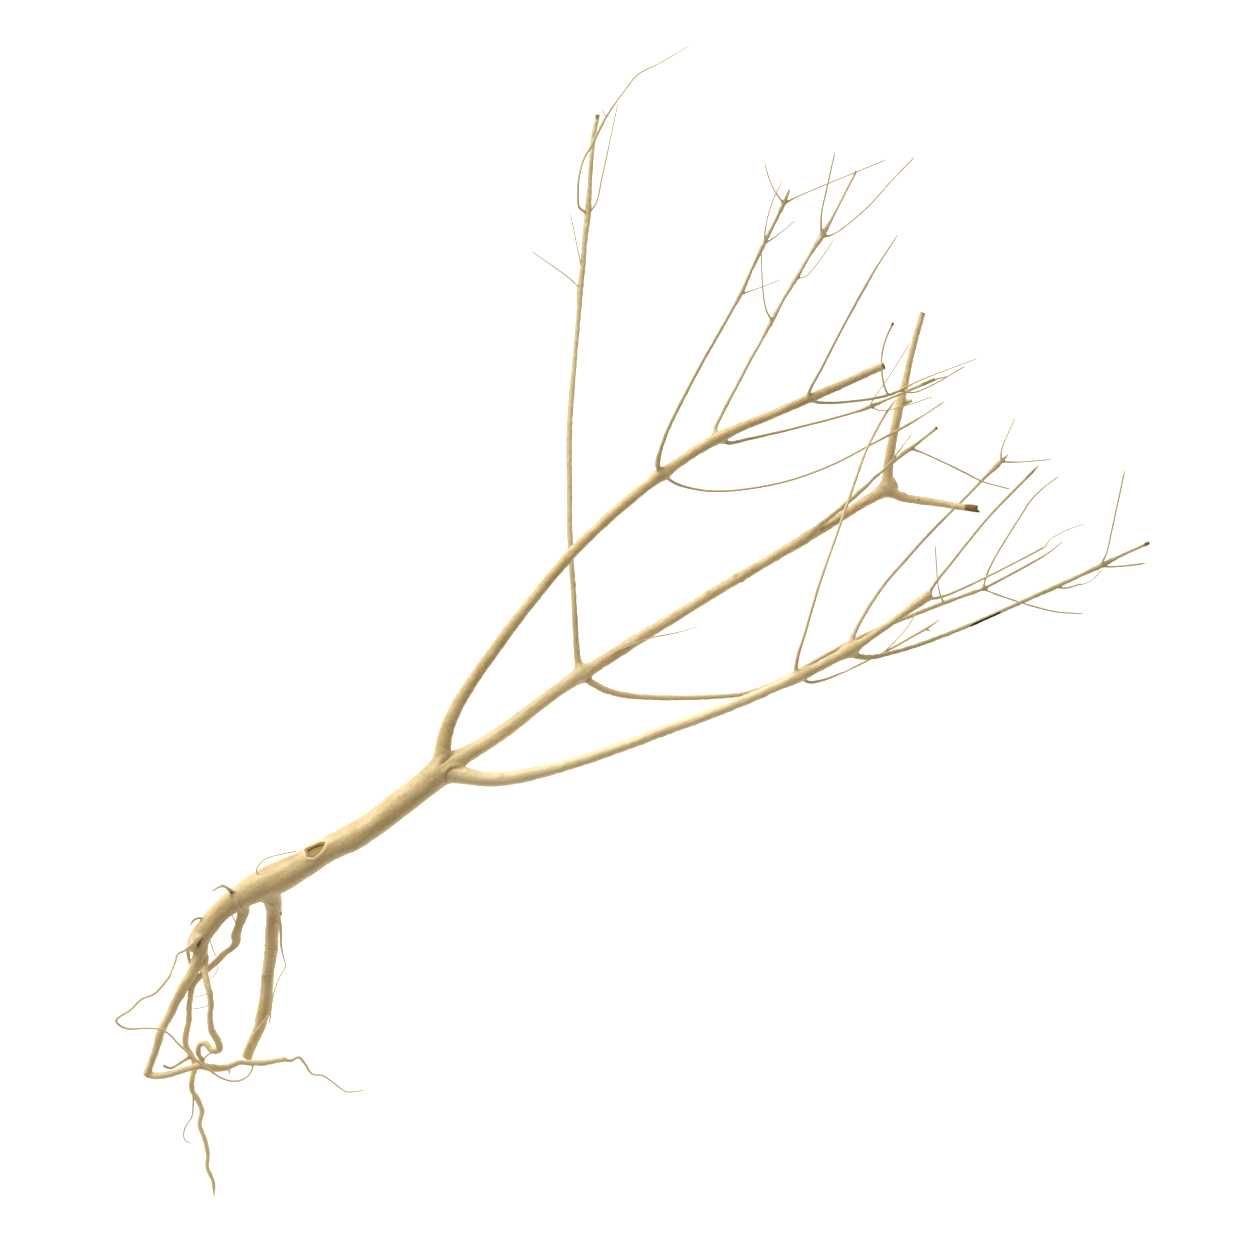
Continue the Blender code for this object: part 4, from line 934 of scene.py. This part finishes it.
@dataclass
class Collars:
    """Draws the wood out where one shoot leaves another, as it grows round a branch."""

    share: float = 1.25
    least: float = 0.45 * MM
    most: float = 2.4 * MM
    rounds: int = 5
    lying: tuple = ("clinging_rootlet",)

    def draw_out(self, mesh: bpy.types.Mesh, shoots: tuple, routes: dict) -> np.ndarray:
        """Fill the creases between shoots.

        Args:
            mesh: the joined wood, which is changed.
            shoots: all the shoots.
            routes: their centre lines by name.

        Returns:
            For each vertex, how near it is to a crease, from 0 to 1; the finish paints shade there.
        """
        places = read_places(mesh)
        creases = np.zeros(len(places))
        moves = np.zeros_like(places)
        for shoot in shoots:
            if not shoot.parent:
                continue
            child, parent = routes[shoot.name], routes[shoot.parent]
            depth, _ = parent.depth(child.points)
            outside = np.nonzero(depth > 0.0)[0]
            leaving = int(outside[0]) if len(outside) else len(depth) - 1
            radius = float(child.radii[leaving])
            blend = min(self.most, max(self.least, self.share * radius))
            reach = (radius + blend) * 3.2
            bases = child.points[leaving:leaving + 1]
            if shoot.name in self.lying:
                bases, blend, reach = child.points[::2], self.least, radius * 3.0
            away = np.full(len(places), 1e9)
            for base in bases:
                away = np.minimum(away, np.linalg.norm(places - base, axis=1))
            chosen = np.nonzero(away < reach)[0]
            if not len(chosen):
                continue
            to_child, out_child = child.depth(places[chosen])
            to_parent, out_parent = parent.depth(places[chosen])
            near = np.clip(1.0 - np.abs(to_child - to_parent) / blend, 0.0, 1.0)
            near *= np.minimum(to_child, to_parent) > -0.3 * blend
            lift = near**2 * blend / 4.0
            share = np.clip(0.5 + 0.5 * (to_parent - to_child) / blend, 0.0, 1.0)[:, None]
            out = out_child * share + out_parent * (1.0 - share)
            size = np.maximum(np.linalg.norm(out, axis=1), 0.45)[:, None]
            moves[chosen] += out / size**2 * lift[:, None]
            creases[chosen] = np.maximum(creases[chosen], near)
        edges = Edges(mesh)
        moves = edges.even(moves, np.full(len(moves), 0.5), 2)
        weights = np.clip(edges.even(creases, np.full(len(creases), 0.5), 3) * 1.2, 0.0, 0.75)
        places = edges.even(places + moves, weights, self.rounds)
        write_places(mesh, places)
        return creases


def numbers_of(mesh: bpy.types.Mesh) -> tuple:
    """The number of the shoot that each face belongs to, and each vertex."""
    faces = np.empty(len(mesh.polygons), np.int32)
    mesh.attributes["shoot"].data.foreach_get("value", faces)
    corners = np.empty(len(mesh.loops), np.int32)
    mesh.loops.foreach_get("vertex_index", corners)
    totals = np.empty(len(mesh.polygons), np.int32)
    mesh.polygons.foreach_get("loop_total", totals)
    owners = np.repeat(faces, totals)
    vertices = np.zeros(len(mesh.vertices), np.int32)
    vertices[corners] = owners
    return vertices, owners, corners


def normals_of(mesh: bpy.types.Mesh) -> np.ndarray:
    """The unit directions out of the surface at a mesh's vertices."""
    flat = np.empty(len(mesh.vertices) * 3, np.float32)
    mesh.vertex_normals.foreach_get("vector", flat)
    return flat.reshape(-1, 3).astype(float)


@dataclass
class Surface:
    """The small shapes on the wood: pimples and dents all over, and the features by name."""

    shoots: tuple
    features: tuple
    pimple: float = 0.30 * MM
    pimple_size: float = 2.1 * MM
    least_radius: float = 0.5 * MM
    full_radius: float = 2.6 * MM
    least_share: float = 0.4
    patches: tuple = (
        ((-75.0, -63.0, 40.0), (-54.0, -40.0, 60.0), 2), ((-140.0, -57.0, 40.0), (-122.0, -46.0, 60.0), 2),
        ((-201.0, -62.0, 34.0), (-189.0, -54.0, 60.0), 1),
    )

    def refine(self, wood: bpy.types.Object) -> None:
        """Divide the faces where the features are finer than the rest of the wood."""
        for low, high, cuts in self.patches:
            only(wood)
            bpy.ops.object.mode_set(mode="EDIT")
            bpy.ops.mesh.select_all(action="DESELECT")
            edit = bmesh.from_edit_mesh(wood.data)
            for face in edit.faces:
                middle = face.calc_center_median() / MM
                if all(least < place < most for least, place, most in zip(low, middle, high)):
                    face.select_set(True)
            bmesh.update_edit_mesh(wood.data)
            bpy.ops.mesh.subdivide(number_cuts=cuts, smoothness=0.0)
            bpy.ops.object.mode_set(mode="OBJECT")

    def shape(self, mesh: bpy.types.Mesh, routes: dict) -> np.ndarray:
        """Raise and sink the surface.

        Args:
            mesh: the wood, which is changed.
            routes: the centre lines by name.

        Returns:
            For each vertex, its share of each kind of mark.
        """
        places, normals = read_places(mesh), normals_of(mesh)
        owners = numbers_of(mesh)[0]
        lifts = np.zeros(len(places))
        marks = np.zeros((len(places), len(Mark)))
        for number, shoot in enumerate(self.shoots):
            mine = np.nonzero(owners == number)[0]
            if not len(mine):
                continue
            route = routes[shoot.name]
            index = route.nearest(places[mine])[0]
            radius = route.radii[index]
            share = np.clip((radius - self.least_radius) / self.least_radius, 0.0, 1.0)
            share = share * np.clip(self.full_radius / radius, self.least_share, 1.0)
            for vertex, amount in zip(mine, share):
                if amount > 0.0:
                    spot = Vector(places[vertex]) / self.pimple_size
                    fine = noise.noise(spot) + 0.6 * noise.noise(spot * 2.3 + Vector((7.0, 3.0, 1.0)))
                    lifts[vertex] = fine * abs(fine) ** 0.5 * amount * self.pimple
        names = [shoot.name for shoot in self.shoots]
        for feature in self.features:
            numbers = [names.index(name) for name in feature.shoots]
            mine = np.nonzero(np.isin(owners, numbers) & (normals[:, 2] > feature.facing))[0]
            share = self.nearness(places[mine, :2], feature)
            lifts[mine] += share**2 * feature.height * MM
            if feature.mark is not None:
                column = feature.mark.value
                marks[mine, column] = np.maximum(marks[mine, column], share * feature.strength)
        write_places(mesh, places + normals * lifts[:, None])
        return marks

    @staticmethod
    def nearness(places: np.ndarray, feature: Feature) -> np.ndarray:
        """How near places are to a feature's line, from 0 at its reach to 1 on it."""
        line = np.array(feature.path, float) * MM
        away = np.full(len(places), 1e9)
        for start, end in zip(line[:-1], line[1:]) if len(line) > 1 else ((line[0], line[0]),):
            run = end - start
            share = np.clip((places - start) @ run / max(float(run @ run), 1e-14), 0.0, 1.0)
            away = np.minimum(away, np.linalg.norm(places - start - share[:, None] * run, axis=1))
        return np.clip(1.0 - (away / (feature.reach * MM)) ** 2, 0.0, 1.0)



# Finishes -----------------------------------------------------------------------------------


class Value:
    """A number that varies over a surface: a node's output that takes Python's operators."""

    def __init__(self, graph: "Graph", socket: bpy.types.NodeSocket) -> None:
        """Wrap an output of one of the graph's nodes."""
        self.graph, self.socket = graph, socket

    def maths(self, operation: str, first: object, second: object) -> "Value":
        """One Math node."""
        node = self.graph.node("ShaderNodeMath", {"operation": operation}, {0: first, 1: second})
        return Value(self.graph, node.outputs[0])

    def __add__(self, other: object) -> "Value":
        """self + other."""
        return self.maths("ADD", self, other)

    def __sub__(self, other: object) -> "Value":
        """self - other."""
        return self.maths("SUBTRACT", self, other)

    def __rsub__(self, other: object) -> "Value":
        """other - self."""
        return self.maths("SUBTRACT", other, self)

    def __mul__(self, other: object) -> "Value":
        """self * other."""
        return self.maths("MULTIPLY", self, other)

    def __pow__(self, other: object) -> "Value":
        """self ** other."""
        return self.maths("POWER", self, other)

    __radd__ = __add__
    __rmul__ = __mul__

    def step(self, low: float, high: float) -> "Value":
        """0 below low and 1 above high, with a smooth rise between them."""
        sockets = {"Value": self, "From Min": low, "From Max": high}
        node = self.graph.node("ShaderNodeMapRange", {"interpolation_type": "SMOOTHSTEP"}, sockets)
        return Value(self.graph, node.outputs["Result"])


class Graph:
    """The nodes of one material, or of the world."""

    def __init__(self, owner: object) -> None:
        """Start with an empty tree."""
        owner.use_nodes = True
        self.tree = owner.node_tree
        self.tree.nodes.clear()

    def node(self, kind: str, settings: dict | None = None, sockets: dict | None = None) -> bpy.types.Node:
        """Add a node.

        Args:
            kind: the node's type.
            settings: its settings, which are set first.
            sockets: values or links for its inputs, by name or number.

        Returns:
            The new node.
        """
        node = self.tree.nodes.new(kind)
        for name, setting in (settings or {}).items():
            setattr(node, name, setting)
        for name, given in (sockets or {}).items():
            self.feed(node.inputs[name], given)
        return node

    def feed(self, socket: bpy.types.NodeSocket, given: object) -> None:
        """Link an output to an input, or set the input's own value."""
        if isinstance(given, Value):
            given = given.socket
        if isinstance(given, bpy.types.NodeSocket):
            self.tree.links.new(given, socket)
        else:
            socket.default_value = given

    def value(self, node: bpy.types.Node, output: object = 0) -> Value:
        """An output of a node, as a value for expressions."""
        return Value(self, node.outputs[output])

    def noise(self, vector: bpy.types.NodeSocket, scale: float, detail: float, roughness: float = 0.5) -> Value:
        """Noise over a vector, from 0 to 1."""
        sockets = {"Vector": vector, "Scale": scale, "Detail": detail, "Roughness": roughness}
        return self.value(self.node("ShaderNodeTexNoise", {}, sockets))

    def stretched(self, vector: bpy.types.NodeSocket, scale: tuple) -> bpy.types.NodeSocket:
        """A vector with each of its axes scaled."""
        return self.node("ShaderNodeMapping", {}, {"Vector": vector, "Scale": scale}).outputs[0]

    def mix(self, share: Value, first: object, second: object) -> bpy.types.NodeSocket:
        """A colour between two others."""
        settings = {"data_type": "RGBA", "clamp_factor": True}
        return self.node("ShaderNodeMix", settings, {0: share, 6: first, 7: second}).outputs[2]

    def attribute(self, name: str, output: str) -> bpy.types.NodeSocket:
        """A named attribute of the piece."""
        return self.node("ShaderNodeAttribute", {"attribute_name": name}).outputs[output]


@dataclass(frozen=True)
class BleachedWood:
    """Peeled wood that has lain in the sun: matt straw over pale cream, with fine grain."""

    name: str = "bleached_wood"
    straw: tuple = (0.53, 0.350, 0.120, 1.0)
    cream: tuple = (0.78, 0.625, 0.330, 1.0)
    tan: tuple = (0.37, 0.225, 0.078, 1.0)
    brown: tuple = (0.19, 0.100, 0.028, 1.0)
    wound: tuple = (0.40, 0.225, 0.070, 1.0)
    char: tuple = (0.020, 0.015, 0.010, 1.0)
    pale: tuple = (0.85, 0.695, 0.405, 1.0)
    weathered: tuple = (0.56, 0.495, 0.310, 1.0)
    roughness: float = 0.46
    stained_roughness: float = 0.75
    sheen: float = 0.26
    gloss: float = 0.65
    grain_depth: float = 0.00016

    def make(self) -> bpy.types.Material:
        """Build the material."""
        wood = bpy.data.materials.new(self.name)
        graph = Graph(wood)
        coords = graph.node("ShaderNodeTexCoord").outputs["Object"]
        grain = graph.attribute("grain", "Vector")
        tone = Value(graph, graph.attribute("tone", "Fac"))
        crease = Value(graph, graph.attribute("crease", "Fac"))
        thin = Value(graph, graph.attribute("thin", "Fac"))
        brown, wound, burn, pale, hollow = (
            Value(graph, graph.attribute(name, "Fac")) for name in ("brown", "wound", "char", "pale", "hollow")
        )

        mottle = graph.noise(coords, 60.0, 4.0)
        patch = graph.noise(coords, 190.0, 3.0)
        streak = graph.noise(graph.stretched(grain, (95.0, 900.0, 900.0)), 1.0, 5.0, 0.6)
        fibre = graph.noise(graph.stretched(grain, (420.0, 4200.0, 4200.0)), 1.0, 4.0, 0.6)
        weave = graph.noise(coords, 1700.0, 3.0, 0.6)
        freckle = graph.noise(coords, 620.0, 2.0).step(0.62, 0.74)

        shade = 0.5 + (mottle - 0.5) * 1.1 + (patch - 0.5) * 0.8 + (streak - 0.5) * 0.6
        shade = shade + (weave - 0.5) * 2.0 + (fibre - 0.5) * 0.4 - freckle * 0.35
        colour = graph.mix(shade, self.straw, self.cream)
        colour = graph.mix(tone * (weave * 0.5 + mottle * 0.4), colour, self.pale)
        colour = graph.mix(thin * (0.15 + patch * 0.7) * (1.2 - tone), colour, self.weathered)
        colour = graph.mix((0.0 - tone).step(0.1, 1.4) * (0.55 + streak * 0.6), colour, self.tan)
        # painted shade: the wood turns towards tan in the creases where shoots meet
        colour = graph.mix(crease * crease * 0.30, colour, self.tan)
        colour = graph.mix(pale * (0.5 + mottle), colour, self.pale)
        ragged = (streak - 0.5) * 0.9 + (weave - 0.5) * 0.6
        # brown ends and scars, and painted shade in the fork creases, the crown hollow and the wound's edge
        colour = graph.mix((brown + brown * ragged).step(0.25, 0.75) * 0.92, colour, self.brown)
        colour = graph.mix((wound + hollow) * (0.55 + patch * 0.7), colour, self.wound)
        colour = graph.mix((burn + burn * ragged).step(0.3, 0.6), colour, self.char)

        relief = streak * 0.45 + fibre * 0.35 + weave * 0.95 + freckle * 0.3 + hollow * patch * 4.0
        bump = graph.node("ShaderNodeBump", {}, {"Strength": 0.55, "Distance": self.grain_depth, "Height": relief})
        rough = self.roughness + (fibre - 0.5) * 0.16 + brown * 0.2
        bare = graph.node("ShaderNodeBsdfPrincipled", {}, {
            "Base Color": colour, "Roughness": rough, "Normal": bump.outputs[0],
            "Specular IOR Level": self.gloss, "Sheen Weight": self.sheen, "Sheen Roughness": 0.45,
            "Sheen Tint": (1.0, 0.99, 0.96, 1.0),
        })
        stained = graph.node("ShaderNodeBsdfPrincipled", {}, {
            "Base Color": colour, "Roughness": self.stained_roughness, "Normal": bump.outputs[0],
            "Specular IOR Level": 0.3,
        })
        share = (brown + wound + hollow + burn).step(0.1, 0.6)
        both = graph.node("ShaderNodeMixShader", {}, {0: share, 1: bare.outputs[0], 2: stained.outputs[0]})
        graph.node("ShaderNodeOutputMaterial", {}, {"Surface": both.outputs[0]})
        return wood


@dataclass(frozen=True)
class FloorFinish:
    """A plain white floor, as evenly bright as an overexposed sheet of paper."""

    colour: tuple = (0.95, 0.945, 0.925, 1.0)
    glow: float = 0.62

    def make(self) -> bpy.types.Material:
        """Build the material."""
        floor = bpy.data.materials.new("white_floor")
        graph = Graph(floor)
        shader = graph.node("ShaderNodeBsdfPrincipled", {}, {
            "Base Color": self.colour, "Roughness": 0.9, "Specular IOR Level": 0.1,
            "Emission Color": (1.0, 1.0, 1.0, 1.0), "Emission Strength": self.glow,
        })
        graph.node("ShaderNodeOutputMaterial", {}, {"Surface": shader.outputs[0]})
        return floor


# Sub-assemblies -----------------------------------------------------------------------------


@dataclass
class Wound:
    """The old wound on the stem: an angular hollow of browner wood inside a pale callus."""

    outline: tuple = (
        (-135.4, -48.7, 45.7), (-136.0, -51.5, 47.8), (-134.1, -52.9, 48.15), (-131.0, -52.8, 48.1),
        (-127.8, -51.6, 47.95), (-126.6, -50.6, 47.4), (-128.6, -49.7, 46.65), (-132.0, -49.1, 46.0),
    )
    out: tuple = (0.0, 0.45, 0.89)
    rise: float = 1.2
    depth: float = 1.0
    taper: float = 0.80

    def cutter(self, number: int) -> bpy.types.Object:
        """The solid that is cut out of the stem, its faces carrying a number."""
        bpy.ops.object.select_all(action="DESELECT")
        bpy.ops.mesh.primitive_circle_add(vertices=len(self.outline), radius=MM, fill_type="NGON")
        solid = bpy.context.object
        solid.name = "wound_cutter"
        out = Vector(self.out).normalized()
        places = np.array(self.outline) * MM + np.array(out) * self.rise * MM
        write_places(solid.data, places)
        away = -out * (self.rise + self.depth) * MM
        middle = Vector(places.mean(0)) + away
        bpy.ops.object.mode_set(mode="EDIT")
        bpy.ops.mesh.select_all(action="SELECT")
        bpy.ops.mesh.extrude_region_move(TRANSFORM_OT_translate={"value": away})
        bpy.ops.transform.resize(value=(self.taper,) * 3, center_override=middle)
        bpy.ops.mesh.select_all(action="SELECT")
        bpy.ops.mesh.normals_make_consistent(inside=False)
        bpy.ops.object.mode_set(mode="OBJECT")
        mark = solid.data.attributes.new("shoot", "INT", "FACE")
        mark.data.foreach_set("value", np.full(len(solid.data.polygons), number, np.int32))
        return solid

    def cut(self, wood: bpy.types.Object, number: int) -> None:
        """Cut the hollow into the wood."""
        tool = self.cutter(number)
        only(wood)
        step = wood.modifiers.new("wound", "BOOLEAN")
        step.operation, step.solver, step.object = "DIFFERENCE", "MANIFOLD", tool
        bpy.ops.object.modifier_apply(modifier=step.name)
        bpy.data.objects.remove(tool, do_unlink=True)


def store(mesh: bpy.types.Mesh, name: str, kind: str, domain: str, values: np.ndarray) -> None:
    """Write an attribute of a mesh."""
    part = {"FLOAT": "value", "FLOAT_VECTOR": "vector", "FLOAT_COLOR": "color"}[kind]
    layer = mesh.attributes.get(name) or mesh.attributes.new(name, kind, domain)
    layer.data.foreach_set(part, values.astype(np.float32).ravel())


def recall(mesh: bpy.types.Mesh, name: str) -> np.ndarray:
    """Read an attribute of one number for each vertex."""
    values = np.empty(len(mesh.vertices), np.float32)
    mesh.attributes[name].data.foreach_get("value", values)
    return values.astype(float)


def dress_grain(mesh: bpy.types.Mesh, shoots: tuple, routes: dict) -> None:
    """Write the grain and the tone that the finish reads, from the shoot of each face."""
    _, owners, corners = numbers_of(mesh)
    places = read_places(mesh)
    grain = np.zeros((len(corners), 3))
    tones, seen, thin = np.zeros(len(places)), np.zeros(len(places)), np.zeros(len(places))
    for number, shoot in enumerate(shoots):
        mine = np.nonzero(owners == number)[0]
        if not len(mine):
            continue
        vertices, back = np.unique(corners[mine], return_inverse=True)
        unbent, radii = routes[shoot.name].unbent(places[vertices])
        unbent[:, 0] += number * 0.731
        grain[mine] = unbent[back]
        tones[vertices] += shoot.tone
        thin[vertices] = np.clip((THIN_RADIUS - radii) / THIN_RANGE, 0.0, 1.0)
        seen[vertices] += 1.0
    rest = np.nonzero(owners >= len(shoots))[0]
    grain[rest] = places[corners[rest]]
    tones = Edges(mesh).even(tones / np.maximum(seen, 1.0), np.full(len(places), 0.6), 6)
    store(mesh, "grain", "FLOAT_VECTOR", "CORNER", grain)
    store(mesh, "tone", "FLOAT", "POINT", tones)
    store(mesh, "thin", "FLOAT", "POINT", thin)


@dataclass
class Wood:
    """The whole plant's wood, as one piece."""

    shoots: tuple
    features: tuple
    root_relief: Relief = Relief(lobes=0.13, dents=0.09, ribs=0.02, wander=0.28 * MM)
    wound: Wound = field(default_factory=Wound)
    collars: Collars = field(default_factory=Collars)
    smooth_angle: float = math.radians(48.0)

    def build(self, finish: bpy.types.Material) -> bpy.types.Object:
        """Raise every shoot, join them, and dress the wood."""
        limbs, roots = ShootMaker(), ShootMaker(self.root_relief)
        routes, solids = {}, []
        for number, shoot in enumerate(self.shoots):
            maker = roots if shoot in ROOTS else limbs
            routes[shoot.name] = Route(shoot, routes.get(shoot.parent))
            solids.append(maker.make(shoot, routes[shoot.name], number))
        log.info("raised %d shoots", len(solids))
        wood = join_solids(solids)
        wood.name = wood.data.name = "root_wood"
        log.info("joined them: %d faces", len(wood.data.polygons))
        # the nearness to a crease is kept for the finish, which paints shade there
        store(wood.data, "crease", "FLOAT", "POINT", self.collars.draw_out(wood.data, self.shoots, routes))
        surface = Surface(self.shoots, self.features)
        surface.refine(wood)
        marks = surface.shape(wood.data, routes)
        for kind in Mark:
            store(wood.data, kind.name.lower(), "FLOAT", "POINT", marks[:, kind.value])
        self.wound.cut(wood, len(self.shoots))
        self.colour_wound(wood.data)
        dress_grain(wood.data, self.shoots, routes)
        wood.data.materials.clear()
        wood.data.materials.append(finish)
        only(wood)
        bpy.ops.object.shade_smooth_by_angle(angle=self.smooth_angle)
        return wood

    def colour_wound(self, mesh: bpy.types.Mesh) -> None:
        """Mark the faces of the hollow."""
        _, owners, _ = numbers_of(mesh)
        store(mesh, "hollow", "FLOAT", "CORNER", (owners == len(self.shoots)).astype(float))


@dataclass
class Strands:
    """The loose hairs and fibres that cling to the plant, as one piece."""

    strands: tuple

    def build(self, finish: bpy.types.Material) -> bpy.types.Object:
        """Raise the strands and put them together."""
        maker = ShootMaker(Relief(lobes=0.10, dents=0.10, wander=0.22 * MM))
        routes, solids = {}, []
        for number, strand in enumerate(self.strands):
            routes[strand.name] = Route(strand, None)
            solids.append(maker.make(strand, routes[strand.name], number))
        bpy.ops.object.select_all(action="DESELECT")
        for solid in solids:
            solid.select_set(True)
        bpy.context.view_layer.objects.active = solids[0]
        bpy.ops.object.join()
        piece = bpy.context.object
        piece.name = piece.data.name = "root_hairs"
        dress_grain(piece.data, self.strands, routes)
        piece.data.materials.append(finish)
        only(piece)
        bpy.ops.object.shade_smooth_by_angle(angle=math.radians(60.0))
        return piece


@dataclass
class Studio:
    """The white floor, the soft light and the camera that looks straight down."""

    centre: tuple = (0.0326, -0.0424, 0.045)
    turn: float = math.radians(-33.0)
    distance: float = 8.0
    view_width: float = 0.5375
    key_power: float = 60.0
    key_size: float = 1.7
    key_distance: float = 2.5
    key_height: float = math.radians(26.0)
    key_side: float = math.radians(30.0)
    sky: tuple = (0.38, 0.355, 0.295, 1.0)

    def build(self, finish: bpy.types.Material) -> None:
        """Set up the floor, the lights and the camera."""
        self.lay_floor(finish)
        self.hang_light()
        self.place_camera()
        scene = bpy.context.scene
        scene.world = bpy.data.worlds.new("studio")
        graph = Graph(scene.world)
        sky = graph.node("ShaderNodeBackground", {}, {"Color": self.sky, "Strength": 1.0})
        graph.node("ShaderNodeOutputWorld", {}, {"Surface": sky.outputs[0]})
        scene.view_settings.view_transform = "Standard"

    @staticmethod
    def lay_floor(finish: bpy.types.Material) -> None:
        """A plain floor under the plant."""
        bpy.ops.object.select_all(action="DESELECT")
        bpy.ops.mesh.primitive_plane_add(size=60.0, location=(0.0, 0.0, 0.0))
        floor = bpy.context.object
        floor.name = "floor"
        floor.data.materials.append(finish)

    def hang_light(self) -> None:
        """One broad, soft light, low over the far left."""
        azimuth = self.turn + self.key_side
        across = Vector((-math.sin(azimuth), math.cos(azimuth), 0.0))
        toward = across * math.cos(self.key_height) + Vector((0.0, 0.0, math.sin(self.key_height)))
        place = Vector(self.centre) + toward * self.key_distance
        bpy.ops.object.light_add(type="AREA", location=place)
        key = bpy.context.object
        key.name = "key"
        key.data.shape, key.data.size, key.data.energy = "DISK", self.key_size, self.key_power
        key.rotation_mode = "QUATERNION"
        key.rotation_quaternion = (-toward).to_track_quat("-Z", "Y")

    def place_camera(self) -> None:
        """The camera, straight above, turned so that the plant lies slantwise."""
        x, y, z = self.centre
        bpy.ops.object.camera_add(location=(x, y, z + self.distance), rotation=(0.0, 0.0, self.turn))
        camera = bpy.context.object
        camera.data.sensor_width = 36.0
        camera.data.lens = 36.0 * self.distance / self.view_width
        camera.data.clip_start, camera.data.clip_end = 0.1, 100.0
        bpy.context.scene.camera = camera


def main() -> None:
    """Build the plant and the studio, and note the sizes."""
    logging.basicConfig(level=logging.INFO, format="%(message)s")
    finish = BleachedWood().make()
    wood = Wood(SHOOTS, FEATURES).build(finish)
    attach(wood, BODY)
    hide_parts("dry_root")
    log.info("wood: %d faces", len(wood.data.polygons))
    hairs = Strands(STRANDS).build(finish)
    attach(hairs, BODY)
    log.info("hairs: %d faces", len(hairs.data.polygons))
    Studio().build(FloorFinish().make())


if __name__ == "__main__":
    main()
